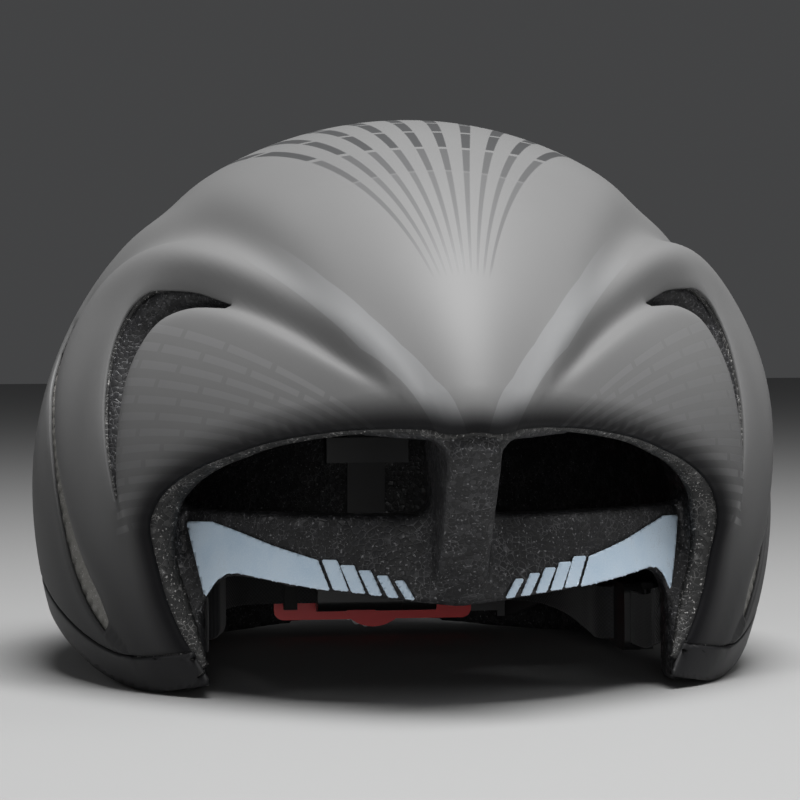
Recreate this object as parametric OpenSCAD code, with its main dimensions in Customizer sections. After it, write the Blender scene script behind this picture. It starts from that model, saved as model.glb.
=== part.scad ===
/* [Outer form] */
// Half width of the helmet at its widest
half_width = 105.5; // [95:0.5:115]
// Height of the crown over the side line
crown_rise = 104; // [90:1:115]
// Depth of the form under the side line
lower_depth = 118; // [100:1:135]
// Height of the side line over the table
side_line = 50; // [40:1:60]
// Length from the middle to the nose
nose_reach = 150; // [135:1:165]
// Length from the middle to the tail
tail_reach = 144.5; // [130:1:165]
// How much the nose narrows
nose_taper = 0.66; // [0.4:0.02:0.8]
// Wall of the outer shell
shell_wall = 1.6; // [1.2:0.1:2.5]
// Gap between shell and foam liner
liner_gap = 0.25; // [0.1:0.05:0.5]
// Height of the lower wrap along the rim
wrap_height = 9; // [6:0.5:14]
// Seam between shell and lower wrap
seam = 0.3; // [0.2:0.05:0.6]

/* [Relief] */
// Height of the fender crest that runs from nose to side
crest_height = 2.6; // [1:0.1:4]
// Width of the fender crest
crest_width = 8; // [5:0.5:12]
// Depth of the groove between fender and crown
groove_depth = 3; // [1:0.1:5]
// Width of that groove
groove_width = 8; // [5:0.5:12]
// Depth of the scoop that leads into the side vent
scoop_depth = 4.5; // [2:0.1:7]
// Width of the scoop
scoop_width = 7; // [5:0.5:12]
// How far the rolled lip of the front rim turns in
lip_turn = 4; // [1:0.25:6]
// Width of the rolled lip
lip_width = 9; // [5:0.5:14]

/* [Head room] */
// Half width of the head room in the liner
head_half_width = 80; // [72:0.5:86]
// Half length of the head room
head_half_length = 103; // [94:0.5:110]
// Height of the dome over the dome line
dome_rise = 92; // [80:1:100]
// Height of the dome line over the table
dome_line = 38; // [30:1:46]
// How far the head room sits behind the middle
head_back = 8; // [0:1:16]
// Foam between head room and brow face, at the middle
brow_wall = 15.5; // [10:0.5:22]
// Height of the brow bar's top over the table
brow_top = 48; // [42:0.5:56]
// Height of the brow bar's lower edge at the middle
brow_low = 25; // [20:0.5:30]
// Half width between the ears under the brow
ear_gap = 60; // [54:0.5:64]
// Foam left around the front intake
rim_wall = 4; // [3:0.25:7]
// Half width of the rib from nose to brow
rib_half = 6.5; // [4:0.5:9]
// Depth of the air channels in the liner
channel_depth = 8; // [4:0.5:12]
// Width of the air channels
channel_width = 18; // [12:1:24]
// Distance between the air channels
channel_pitch = 36; // [30:1:42]

/* [Side openings] */
// Depth of the side vent in the liner
vent_depth = 34; // [20:1:40]
// Widest part of the side slit
slit_width = 3.4; // [2:0.1:5]
// Depth of the side slit in the liner
slit_depth = 5; // [3:0.5:8]

/* [Pads] */
// Thickness of a pad at its crown
pad_thick = 5.5; // [3:0.5:8]
// Thickness of the hook dots behind the pads
dot_thick = 0.8; // [0.5:0.1:1.2]
// Radius of a hook dot
dot_r = 7; // [5:0.5:9]
// Gap between soft pads and their neighbours
soft_gap = 0.3; // [0.2:0.05:0.5]

/* [Retention] */
// Distance of the temple pins behind the middle, towards the nose
pin_front = 35; // [28:1:42]
// Height of the temple pins over the table
pin_height = 30; // [26:0.5:34]
// Radius of a temple pin
pin_r = 2.5; // [2:0.1:3.5]
// Radial clearance of the running fits
run_gap = 0.05; // [0.02:0.01:0.09]
// Outer radius of a temple ring
ring_r = 6; // [5:0.25:8]
// Thickness of the temple ring and the side arm
arm_thick = 1.5; // [1.2:0.1:2.2]
// Height of a side arm
arm_tall = 9; // [7:0.5:11]
// Height of the dial axis over the table
dial_height = 14; // [13.5:0.25:17]
// Distance of the cradle's channel inside the back of the head room
cradle_inset = 21; // [19:0.5:27]
// Radius of the knurled dial wheel
wheel_r = 12.6; // [11:0.1:13.2]
// Thickness of the dial wheel
wheel_wide = 6.5; // [5:0.25:8]
// Knurls around the dial wheel
knurls = 24; // [16:1:32]
// Radius of the round hub in front of the cradle
hub_r = 11.6; // [10:0.1:12.4]
// Pitch radius of the pinion
pinion_r = 4; // [3.5:0.1:4.5]
// Teeth of the pinion
pinion_teeth = 8; // [8:2:10]
// Thickness of a rack
rack_thick = 2.4; // [2:0.1:3]
// Height of a rack's back behind its teeth
rack_back = 2.6; // [2:0.1:3.5]
// Clearance of a rack in its channel
rack_gap = 0.25; // [0.15:0.05:0.4]
// Half length of the cradle's housing
cradle_half = 31; // [28:0.5:38]
// Wall of the cradle's housing
cradle_wall = 1.6; // [1.2:0.1:2.4]
// Distance of the hanger strap inside the back of the head room
hanger_inset = 6; // [5:0.5:10]
// Width of the hanger strap
hanger_wide = 12; // [9:0.5:14]
// Thickness of the hanger strap
hanger_thick = 1.4; // [1.2:0.1:2]

/* [Straps] */
// Width of the webbing
web_wide = 15; // [13:0.5:16]
// Thickness of the webbing
web_thick = 1.2; // [1:0.1:1.6]
// Height of the buckle's middle over the table
buckle_height = 19.5; // [17:0.25:22]
// Length of the buckle's socket half
socket_long = 26; // [24:0.5:32]
// Height of the buckle
buckle_tall = 20; // [18:0.5:21]
// Thickness of the buckle
buckle_thick = 8; // [7:0.25:10]
// Wall of the buckle's socket
buckle_wall = 1.5; // [1.2:0.1:2]
// Clearance of the plug in its socket
plug_gap = 0.3; // [0.2:0.05:0.5]
// Length of a strap divider
divider_long = 24; // [20:0.5:28]
// Height of a strap divider
divider_tall = 19; // [18:0.5:21]
// Thickness of a strap divider
divider_thick = 5.2; // [4.8:0.2:7]
// Distance of the strap dividers inside the head room
divider_inset = 16; // [14:0.5:20]
// Radius of a strap divider's cam pin
cam_pin_r = 1; // [0.8:0.1:1.4]
// Length of a divider's cam lever
cam_long = 10; // [8:0.5:11]

/* [Hidden] */
divider_half = head_half_width - divider_inset;
room_back = head_back + head_half_length;
cradle_back = room_back - cradle_inset;
hanger_r = pin_front + room_back - hanger_inset;
mid_y = 15;
top_y = 5;
low_y = 10;
sheet_mm = 1.6;
fine_rings = [28, 13];
fine_steps = 64;
coarse_rings = [15, 9];
coarse_steps = 38;
open_angle = 136;
table_cut = lower_depth + 20;
eps = 0.02;

// Small helpers for blending, paths and their mirror
function clamp01(v) = min(1, max(0, v));
function lerp(a, b, t) = a + (b - a) * t;
function smooth_step(v) = let (c = clamp01(v)) c * c * (3 - 2 * c);
function at(list, i) = list[min(len(list) - 1, max(0, i))];
function rounded(p, i, t) = 0.5 * (2 * at(p, i) + (at(p, i + 1) - at(p, i - 1)) * t
    + (2 * at(p, i - 1) - 5 * at(p, i) + 4 * at(p, i + 1) - at(p, i + 2)) * t * t
    + (3 * at(p, i) - at(p, i - 1) - 3 * at(p, i + 1) + at(p, i + 2)) * t * t * t);
function curve(p, n) = [for (k = [0 : n]) let (s = k * (len(p) - 1) / n, i = min(floor(s), len(p) - 2))
    rounded(p, i, s - i)];
function flip(v) = [-v[0], v[1], v[2]];

// Outer form: an ellipse across, whose width, rise and depth follow the length
function front_share(y, mid, in) = clamp01((mid - y) / (mid + nose_reach - in));
function rear_share(y, mid, in) = clamp01((y - mid) / (tail_reach - in - mid));
function wide_at(y, in) = let (s = front_share(y, mid_y, in), r = rear_share(y, mid_y, in))
    (half_width - in) * (y < mid_y ? sqrt(1 - s * s) * (1 - nose_taper * pow(s, 2.5)) : sqrt(1 - pow(r, 2.3)));
function rise_at(y, in) = let (s = front_share(y, top_y, in), r = rear_share(y, top_y, in))
    (crown_rise - in) * (y < top_y ? pow(1 - s * s, 0.62) : pow(1 - pow(r, 2.6), 0.7));
function depth_at(y, in) = let (s = front_share(y, low_y, in), r = rear_share(y, low_y, in))
    (lower_depth - in) * (y < low_y ? sqrt(1 - s * s) : pow(1 - pow(r, 2.5), 0.8));
function plain_radius(a, y, in) = let (v = cos(a) >= 0 ? rise_at(y, in) : depth_at(y, in))
    1 / sqrt(pow(sin(a) / max(eps, wide_at(y, in)), 2) + pow(cos(a) / max(eps, v), 2));
function on_form(a, y, r) = [r * sin(a), y, side_line + r * cos(a)];

// Courses of the relief: angle from the top, distance along the length, strength
crest_course = [[24, -139, 0.2], [30, -128, 0.7], [35, -111, 1], [39, -88, 1], [43, -66, 1], [48, -48, 1],
    [56, -35, 1], [66, -31, 1], [78, -36, 0.9], [92, -45, 0.8], [106, -57, 0.6], [118, -66, 0.3]];
groove_course = [[34, -115, 0.2], [35, -102, 0.7], [36, -85, 1], [38, -62, 1], [41, -42, 1], [45.5, -24, 0.8],
    [51, -13, 0.6], [58, -5, 0.6], [66, 0, 0.6], [74, -4, 0.6], [84, -21, 0.4], [96, -36, 0.3], [112, -52, 0]];
hood_course = [[36, -85, 0], [37, -60, 0.3], [38.5, -30, 0.5], [40, 0, 0.5], [42, 40, 0.5], [44, 80, 0.4],
    [46, 118, 0.2]];
scoop_course = [[32, -129, 0.2], [37, -118, 0.7], [40.5, -104, 1], [43.5, -90, 1], [46, -78, 1], [50, -66, 1],
    [56, -58, 1], [66, -57, 0.8], [78, -59, 0.6], [92, -62, 0.5], [106, -68, 0.35], [122, -74, 0.2]];
rim_course = [[0, -144.5, 1], [18, -142.5, 1], [39.5, -135.6, 1], [61.2, -119.6, 1], [71.5, -105.8, 1],
    [80, -92, 1], [86.5, -82, 1], [94.5, -75.6, 1], [108, -77.3, 1], [124.5, -84.5, 1], [136, -90, 1]];

// Distance from a spot to a course on the flattened form, with its strength and side
function flat_spot(p) = [p[0] * sheet_mm, p[1]];
function leg_share(q, a, b) = let (d = b - a) clamp01(((q - a) * d) / (d * d));
function leg_near(q, c, i) = let (a = flat_spot(c[i]), b = flat_spot(c[i + 1]), t = leg_share(q, a, b),
    m = lerp(a, b, t), w = q - m, d = b - a)
    [w * w, lerp(c[i][2], c[i + 1][2], t), d[0] * w[1] - d[1] * w[0]];
function nearest(legs, i = 1, best = 0) = i >= len(legs) ? legs[best]
    : nearest(legs, i + 1, legs[i][0] < legs[best][0] ? i : best);
function near_course(q, c) = nearest([for (i = [0 : len(c) - 2]) leg_near(q, c, i)]);
function bump(n, w) = n[1] * exp(-n[0] / (w * w));

crest_line = curve(crest_course, 18);
groove_line = curve(groove_course, 18);
hood_line = curve(hood_course, 9);
scoop_line = curve(scoop_course, 18);
rim_line = curve(rim_course, 20);

// Relief in mm over the plain form: crest, grooves, scoop and rolled lip
function relief(a, y, spread = 1) = let (q = flat_spot([abs(a), y]), s = near_course(q, scoop_line),
    l = near_course(q, rim_line))
    crest_height * bump(near_course(q, crest_line), crest_width)
    - groove_depth * bump(near_course(q, groove_line), groove_width * spread)
    - groove_depth * 0.8 * bump(near_course(q, hood_line), groove_width * spread)
    - scoop_depth * bump(s, (s[2] > 0 ? scoop_width : scoop_width * 0.6) * spread)
    - lip_turn * pow(max(0, 1 - sqrt(l[0]) / (lip_width * spread)), 2);
function skin_radius(a, y, in, keep) = plain_radius(a, y, in)
    + (keep ? relief(a, y) : 1.1 * min(0, relief(a, y, 1.8)));

// Closed solid inside the outer form, set in by a distance
function slant(j, n) = let (k = n - 4) j <= k ? lerp(-open_angle, open_angle, j / k)
    : open_angle + (360 - 2 * open_angle) * (j - k) / 4;
function crowd(t) = 0.6 * t + 0.4 * sin(90 * t);
function stations(rings, in) = concat(
    [for (i = [rings[0] - 1 : -1 : 1]) lerp(low_y, -nose_reach + in, crowd(i / rings[0]))],
    [for (i = [0 : rings[1] - 1]) lerp(low_y, tail_reach - in, crowd(i / rings[1]))]);
module form_solid(in, rings, steps, keep) {
    ys = stations(rings, in);
    n = len(ys);
    points = concat([for (y = ys) for (j = [0 : steps - 1]) let (a = slant(j, steps))
        on_form(a, y, skin_radius(a, y, in, keep))],
        [[0, -nose_reach + in, side_line], [0, tail_reach - in, side_line]]);
    sides = [for (i = [0 : n - 2]) for (j = [0 : steps - 1]) let (k = (j + 1) % steps,
        p = i * steps + j, q = i * steps + k, r = p + steps, s = q + steps)
        each (2 * j < steps - 5 ? [[p, r, q], [r, s, q]] : [[p, s, q], [p, r, s]])];
    nose = [for (j = [0 : steps - 1]) [n * steps, j, (j + 1) % steps]];
    tail = [for (j = [0 : steps - 1]) [n * steps + 1, (n - 1) * steps + (j + 1) % steps,
        (n - 1) * steps + j]];
    polyhedron(points, concat(sides, nose, tail), convexity = 8);
}

// Wedge between two edges on the form, cut from one depth to another
module spot_hull(spots) {
    n = len(spots);
    hull() {
        polyhedron(spots, [for (i = [0 : n - 1]) [i, (i + 1) % n, (i + 2) % n]]);
    }
}
function deep_pair(c, top, bottom) = let (r = plain_radius(c[0], c[1], 0))
    [on_form(c[0], c[1], r + top), on_form(c[0], c[1], max(eps, r - bottom))];
module form_slot(first, second, top, bottom) {
    for (i = [0 : len(first) - 2]) {
        spot_hull([for (c = [first[i], first[i + 1], second[i], second[i + 1]]) each deep_pair(c, top, bottom)]);
    }
}

// Open front: everything ahead of the rim course, kept clear of a core where the liner needs it
module front_cut(core, back = 0) {
    turn = concat([for (c = rim_line) c],
        [for (i = [len(rim_line) - 1 : -1 : 1]) [360 - rim_line[i][0], rim_line[i][1]]]);
    n = len(turn);
    ahead = -nose_reach - 20;
    points = [for (c = turn) let (r = plain_radius(c[0], c[1], 0), y = c[1] + back, k = max(0.5, r - core))
        each [on_form(c[0], y, k), on_form(c[0], y, max(k + 0.2, r - 5)), on_form(c[0], y, r + 3),
            on_form(c[0], y, r + 60), on_form(c[0], ahead, r + 60), on_form(c[0], ahead, k)]];
    faces = [for (i = [0 : n - 1]) for (j = [0 : 5]) let (p = 6 * i + j, q = 6 * i + (j + 1) % 6,
        r = 6 * ((i + 1) % n) + j, s = 6 * ((i + 1) % n) + (j + 1) % 6) each [[p, s, q], [p, r, s]]];
    polyhedron(points, faces, convexity = 8);
}
module nose_plug() {
    translate([0, -nose_reach - 20, side_line])
        rotate([-90, 0, 0])
            cylinder(r = 6, h = 30, $fn = 16);
}

// Rim line seen from the side: low at the ears and behind, raised between them
rim_low_side = [[-170, 14], [-96, 11], [-86, 8], [-77, 3.4], [-67, 0.8], [-58, 0], [-48, 0.6], [-36, 3],
    [-20, 8], [0, 14], [18, 16.5], [38, 13], [58, 5], [76, 0.6],
    [98, 0], [116, 4], [134, 14], [170, 26]];
module under_rim(raise) {
    rotate([90, 0, 90])
        linear_extrude(4 * half_width, center = true)
            polygon(concat([for (c = curve(rim_low_side, 30)) [c[0], max(0, c[1]) + raise]],
                [[200, raise], [200, -table_cut], [-200, -table_cut], [-200, raise]]));
}

// Side vent between fender and cheek panel, and thin slit beside the fender
vent_outer = [[46.3, -80], [48, -67], [50.5, -57], [54, -50.5], [58, -48.5], [63, -49.2], [69, -52], [77, -56],
    [84, -58.6], [90, -61.6]];
vent_inner = [[47.3, -81.5], [50, -74], [53, -68], [56, -64], [59, -62.3], [63, -62], [69, -62.2], [77, -62.6],
    [84, -62.4], [90, -62.2]];
slit_course = [[66, 1.5, 0.25], [71, 0, 0.6], [77, -8, 0.9], [85, -22, 1], [94, -34, 1], [102, -43, 0.9],
    [108, -49, 0.6], [112, -53, 0.25]];
module side_vents(grow, bottom) {
    outer = curve(vent_outer, 14);
    inner = curve(vent_inner, 14);
    for (side = [1, -1]) {
        form_slot([for (c = outer) [side * c[0], c[1] + grow]], [for (c = inner) [side * c[0], c[1] - grow]],
            12, bottom);
    }
}
module side_slits(bottom) {
    line = curve(slit_course, 12);
    half = slit_width / 2 / sheet_mm;
    for (side = [1, -1]) {
        form_slot([for (c = line) [side * (c[0] - half * c[2]), c[1] - half * c[2]]],
            [for (c = line) [side * (c[0] + half * c[2]), c[1] + half * c[2]]], 8, bottom);
    }
}

// Air outlets at the back, seen from behind
outlet_low = 74;
outlet_high = 96;
module rear_outlets(grow) {
    for (k = [-1 : 1]) {
        hull() {
            for (z = [outlet_low + 4 * abs(k), outlet_high - 5 * abs(k)]) {
                translate([k * channel_pitch, head_back + head_half_length * 0.55, z - 0])
                    rotate([-90, 0, 0])
                        cylinder(r = channel_width / 2 - 2 + grow, h = 120, $fn = 20);
            }
        }
    }
}

// Outer shell, as one skin that the seam later parts
module whole_shell() {
    difference() {
        form_solid(0, fine_rings, fine_steps, true);
        form_solid(shell_wall, coarse_rings, coarse_steps, false);
        front_cut(300);
        nose_plug();
        side_vents(0, 12);
        side_slits(8);
        rear_outlets(1.2);
        under_brow();
    }
}
module outer_shell() {
    color("#4a4b4c") {
        difference() {
            whole_shell();
            under_rim(wrap_height + seam / 2);
        }
    }
}
module lower_wrap() {
    color("#161719") {
        difference() {
            intersection() {
                whole_shell();
                under_rim(wrap_height - seam / 2);
            }
            under_rim(0);
        }
    }
}

// Head room and its air channels
module head_room(grow) {
    translate([0, head_back, dome_line]) {
        scale([head_half_width + grow, head_half_length + grow, dome_rise + grow])
            sphere(r = 1, $fn = 48);
        mirror([0, 0, 1])
            scale([head_half_width + grow, head_half_length + grow, 1])
                cylinder(r = 1, h = 2 * table_cut, $fn = 48);
    }
}
module air_channels() {
    for (k = [-1 : 1]) {
        intersection() {
            translate([0, head_back, dome_line])
                scale([head_half_width, head_half_length, dome_rise] + channel_depth * [1, 1, 1])
                    sphere(r = 1, $fn = 40);
            translate([k * channel_pitch, head_back, dome_line + 30 + dome_rise])
                cube([channel_width, 4 * head_half_length, 2 * dome_rise], center = true);
        }
    }
}

// Brow face: the foam wall in front of the head room that carries the reflective strips
brow_front = head_half_length + brow_wall;
module brow_form(grow) {
    translate([0, head_back, brow_low + 1])
        scale([head_half_width + 2 + grow, brow_front + grow, 110])
            sphere(r = 1, $fn = 60);
}
function brow_edge(x) = brow_low + 0.12 * abs(x);
module under_brow() {
    rotate([90, 0, 0])
        linear_extrude(200)
            polygon([[-ear_gap - 1, -table_cut], [-ear_gap - 1, brow_low - 2], [-ear_gap, brow_low + 2],
                [-ear_gap + 4, brow_edge(ear_gap) - 1], [-ear_gap + 10, brow_edge(ear_gap - 10)],
                [-30, brow_edge(30)], [0, brow_edge(0)], [30, brow_edge(30)],
                [ear_gap - 10, brow_edge(ear_gap - 10)], [ear_gap - 4, brow_edge(ear_gap) - 1],
                [ear_gap, brow_low + 2], [ear_gap + 1, brow_low - 2], [ear_gap + 1, -table_cut]]);
}

// Front intake: the rim's outline set in, widening upwards behind the rim
function rim_view(shift, lift) = [for (c = curve(rim_course, 14)) let (r = plain_radius(c[0], c[1], 0),
    v = on_form(c[0], c[1], r), w = [v[0], v[2] - side_line], g = norm(w))
    [w[0] * (g - shift) / g, side_line + w[1] * (g - shift) / g + (w[1] > 0 ? lift * w[1] / 20 : 0)]];
module intake_slice(y, shift, lift) {
    right = rim_view(shift, lift);
    translate([0, y, 0])
        rotate([90, 0, 0])
            linear_extrude(eps)
                polygon(concat(right, [for (i = [len(right) - 1 : -1 : 0]) [-right[i][0], right[i][1]]]));
}
module intake() {
    hull() {
        intake_slice(-nose_reach - 10, rim_wall, 0);
        intake_slice(-126, rim_wall, 0);
    }
    hull() {
        intake_slice(-126, rim_wall, 0);
        intake_slice(-30, rim_wall + 3, 16);
    }
}
module nose_rib() {
    hull() {
        translate([-rib_half, -nose_reach - 8, side_line + 34])
            cube([2 * rib_half, 80, eps]);
        translate([-rib_half, -nose_reach + 12, side_line + 15])
            cube([2 * rib_half, 70, eps]);
        translate([-rib_half, head_back - brow_front - 2, brow_low + 10])
            cube([2 * rib_half, 40, eps]);
        translate([-rib_half, head_back - brow_front + 2, brow_low])
            cube([2 * rib_half, 40, eps]);
    }
}

// Foam liner with intake, brow bar, rib, channels and sockets
inner_in = shell_wall + liner_gap;
module eps_liner() {
    color("#141415") {
        difference() {
            form_solid(inner_in, coarse_rings, coarse_steps, false);
            front_cut(18, 0.6);
            under_rim(0.3);
            head_room(0);
            air_channels();
            difference() {
                intake();
                intersection() {
                    brow_form(0);
                    translate([-100, -140, 0])
                        cube([200, 160, brow_top]);
                }
                nose_rib();
            }
            under_brow();
            side_vents(-0.6, vent_depth);
            side_slits(inner_in + slit_depth);
            rear_outlets(0);
            for (side = [1, -1]) {
                translate([side * (plug_x - 1), -pin_front, pin_height])
                    rotate([0, side * 90, 0])
                        cylinder(r = plug_r + liner_gap, h = plug_long + 2, $fn = 40);
                translate([side * (plug_x - 12), -pin_front, pin_height])
                    rotate([0, side * 90, 0])
                        cylinder(r = ring_r + 1.5, h = 12.2, $fn = 40);
            }
        }
    }
}

// Reflective strips on the brow face: a wing and five slanted bars a side
bar_count = 5;
bar_pitch = 4.35;
bar_outer = 33.4;
bar_wide = 3.2;
bar_slant = 2.5;
strip_thick = 0.25;
strip_off = 0.05;
wing_outline = [[34.8, 36.4], [45, 39.5], [53, 42.6], [59.5, 44.8], [65.4, 44.4], [61.4, 26], [59, 30.2],
    [56.3, 32.3], [53.5, 32.6], [44, 31], [32.2, 29.3]];
module strip_marks() {
    polygon(wing_outline);
    for (i = [0 : bar_count - 1]) {
        x = bar_outer - bar_pitch * i;
        w = bar_wide - 0.35 * i;
        polygon([[x, 2.2 + brow_edge(x) + 0.16 * x], [x - w, 2.2 + brow_edge(x) + 0.16 * x],
            [x - w - bar_slant, 0.6 + brow_edge(x - w)], [x - bar_slant, 0.6 + brow_edge(x)]]);
    }
}
module brow_sticker(side) {
    color("#a9c3d8") {
        intersection() {
            difference() {
                brow_form(strip_off + strip_thick);
                brow_form(strip_off);
            }
            mirror([side < 0 ? 1 : 0, 0, 0])
                translate([0, -40, 0])
                    rotate([90, 0, 0])
                        linear_extrude(120)
                            strip_marks();
        }
    }
}
module brow_sticker_left() {
    brow_sticker(-1);
}
module brow_sticker_right() {
    brow_sticker(1);
}

// Pads that follow the head room: crowned, drawn in at the ends
dot_off = 0.75;
pad_off = dot_off + dot_thick;
function room_spot(az, el, in) = let (g = [head_half_width - in, head_half_length - in, dome_rise - in])
    let (c = el < 0 ? 1 : cos(el)) [g[0] * c * sin(az), head_back - g[1] * c * cos(az),
        dome_line + g[2] * (el < 0 ? el * PI / 180 : sin(el))];
function draw_in(u) = sqrt(1 - 0.8 * pow(abs(u), 6));
module room_pad(az, el, az_half, el_half, nu, nv, back) {
    grid = [for (i = [0 : nu]) for (j = [0 : nv]) [2 * i / nu - 1, 2 * j / nv - 1]];
    low = [for (g = grid) room_spot(az + az_half * g[0] * draw_in(g[1]), el + el_half * g[1] * draw_in(g[0]),
        back)];
    high = [for (g = grid) room_spot(az + az_half * g[0] * draw_in(g[1]) * 0.96,
        el + el_half * g[1] * draw_in(g[0]) * 0.94,
        back + 1 + (pad_thick - 1) * sqrt((1 - pow(g[0], 4)) * (1 - pow(g[1], 4))))];
    m = nv + 1;
    c = (nu + 1) * m;
    cells = [for (i = [0 : nu - 1]) for (j = [0 : nv - 1])
        [i * m + j, (i + 1) * m + j, (i + 1) * m + j + 1, i * m + j + 1]];
    edge = concat([for (i = [0 : nu - 1]) i * m], [for (j = [0 : nv - 1]) nu * m + j],
        [for (i = [nu : -1 : 1]) i * m + nv], [for (j = [nv : -1 : 1]) j]);
    n = len(edge);
    faces = concat([for (f = cells) each [[c + f[1], c + f[2], c + f[0]], [c + f[2], c + f[3], c + f[0]]]],
        [for (f = cells) each [[f[1], f[0], f[2]], [f[2], f[0], f[3]]]],
        [for (k = [0 : n - 1]) let (a = edge[k], b = edge[(k + 1) % n])
            each [[a, b, c + a], [c + a, b, c + b]]]);
    polyhedron(concat(low, high), faces, convexity = 4);
}
// Hook dots on the liner; brow, crown and rear pads have a shallow seat for each
brow_dots = [[-30, -1.5], [0, -1.5], [30, -1.5]];
function crown_dots(side) = [[side * 30, 58]];
function side_dots(side) = [[side * 101, 22], [side * 83, 22]];
function rear_dots(side) = [[side * 161, 38]];
dot_places = concat(brow_dots, crown_dots(-1), crown_dots(1), side_dots(-1), side_dots(1),
    rear_dots(-1), rear_dots(1));
module dot_disc(place, r, thick) {
    p = room_spot(place[0], place[1], dot_off);
    q = p - [0, head_back, dome_line];
    n = [q[0] / pow(head_half_width, 2), q[1] / pow(head_half_length, 2), max(0, q[2]) / pow(dome_rise, 2)];
    translate(p)
        rotate([0, 0, atan2(n[1], n[0])])
            rotate([0, atan2(norm([n[0], n[1]]), n[2]) + 180, 0])
                cylinder(r = r, h = thick, $fn = 32);
}
module hook_dots() {
    color("#2c2d30") {
        for (place = dot_places) {
            dot_disc(place, dot_r, dot_thick);
        }
    }
}
module seated_pad(dots, az, el, az_half, el_half, nu, nv) {
    color("#202124") {
        difference() {
            room_pad(az, el, az_half, el_half, nu, nv, pad_off);
            for (place = dots) {
                dot_disc(place, dot_r + soft_gap, dot_thick + soft_gap);
            }
        }
    }
}
module brow_pad() {
    seated_pad(brow_dots, 0, -1.5, 40, 5.5, 18, 4);
}
module crown_pad_left() {
    seated_pad(crown_dots(-1), -30, 58, 16, 15, 6, 6);
}
module crown_pad_right() {
    seated_pad(crown_dots(1), 30, 58, 16, 15, 6, 6);
}
module side_pad(side) {
    color("#202124") {
        room_pad(side * 92, 22, 16, 8, 7, 5, pad_off + soft_gap);
    }
}
module side_pad_left() {
    side_pad(-1);
}
module side_pad_right() {
    side_pad(1);
}
module rear_pad_left() {
    seated_pad(rear_dots(-1), -161, 38, 13, 9, 7, 6);
}
module rear_pad_right() {
    seated_pad(rear_dots(1), 161, 38, 13, 9, 7, 6);
}

// Temple anchors: a plug in the liner that carries a headed pin
function wall_x(y) = head_half_width * sqrt(1 - pow((y - head_back) / head_half_length, 2));
plug_r = 6.5;
plug_long = 8;
plug_x = wall_x(-pin_front) - 0.5;
pin_head_r = 4.2;
pin_head = 1.2;
ring_x = plug_x - 2.4;
pin_reach = ring_x - 0.3 - pin_head;
module side_cylinder(x, r, h) {
    translate([x, -pin_front, pin_height])
        rotate([0, 90, 0])
            cylinder(r = r, h = h, $fn = 40);
}
module temple_anchor() {
    color("#1b1c1e") {
        side_cylinder(plug_x, plug_r, plug_long);
        side_cylinder(pin_reach, pin_r, plug_x - pin_reach + eps);
        side_cylinder(pin_reach, pin_head_r, pin_head);
    }
}
module temple_anchor_right() {
    temple_anchor();
}
module temple_anchor_left() {
    mirror([1, 0, 0]) temple_anchor();
}
module temple_ring() {
    color("#242528") {
        difference() {
            side_cylinder(ring_x, ring_r, arm_thick);
            side_cylinder(ring_x - 1, pin_r + run_gap, arm_thick + 2);
        }
    }
}
module temple_ring_right() {
    temple_ring();
}
module temple_ring_left() {
    mirror([1, 0, 0]) temple_ring();
}

// Ribbon along a course in plan, standing on its edge
function plan_side(p, i) = let (d = at(p, i + 1) - at(p, i - 1), g = norm([d[0], d[1]])) [d[1] / g, -d[0] / g, 0];
module ribbon(course, thick, tall) {
    n = len(course);
    points = [for (i = [0 : n - 1]) let (s = plan_side(course, i) * thick / 2, z = [0, 0, tall / 2])
        each [course[i] - s - z, course[i] + s - z, course[i] + s + z, course[i] - s + z]];
    faces = concat([[2, 1, 0], [3, 2, 0]], [[4 * n - 4, 4 * n - 3, 4 * n - 2], [4 * n - 4, 4 * n - 2, 4 * n - 1]],
        [for (i = [0 : n - 2]) for (j = [0 : 3]) let (k = (j + 1) % 4, b = 4 * i)
            each [[b + 4 + k, b + 4 + j, b + j], [b + k, b + 4 + k, b + j]]]);
    polyhedron(points, faces, convexity = 6);
}

// Side arms: thin straps from the temple rings back to the racks
top_rack_z = dial_height + pinion_r + 0.9 + rack_back / 2;
low_rack_z = dial_height - pinion_r - 0.9 - rack_back / 2;
rack_end = 42;
arm_start = [ring_x + arm_thick / 2, -pin_front + ring_r + 0.4, pin_height];
function arm_spot(share, inset, z) = let (y = head_back + share * head_half_length)
    [wall_x(y) - inset, y, z];
function arm_course(z) = curve([arm_start, arm_spot(-0.155, 7.4, pin_height + 0.6),
    arm_spot(0.039, 7.5, pin_height + 0.6),
    arm_spot(0.252, 7.6, lerp(pin_height, z, 0.06)), arm_spot(0.456, 8.7, lerp(pin_height, z, 0.3)),
    arm_spot(0.612, 9.2, lerp(pin_height, z, 0.66)), [rack_end + 3, cradle_back - 8, lerp(pin_height, z, 0.93)],
    [rack_end + 0.6, cradle_back - 2.4, z]], 16);
module side_arm_right() {
    color("#232427") {
        ribbon(arm_course(low_rack_z + 1.4), arm_thick, arm_tall);
    }
}
module side_arm_left() {
    color("#232427") {
        mirror([1, 0, 0]) ribbon(arm_course(top_rack_z), arm_thick, arm_tall);
    }
}

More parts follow.
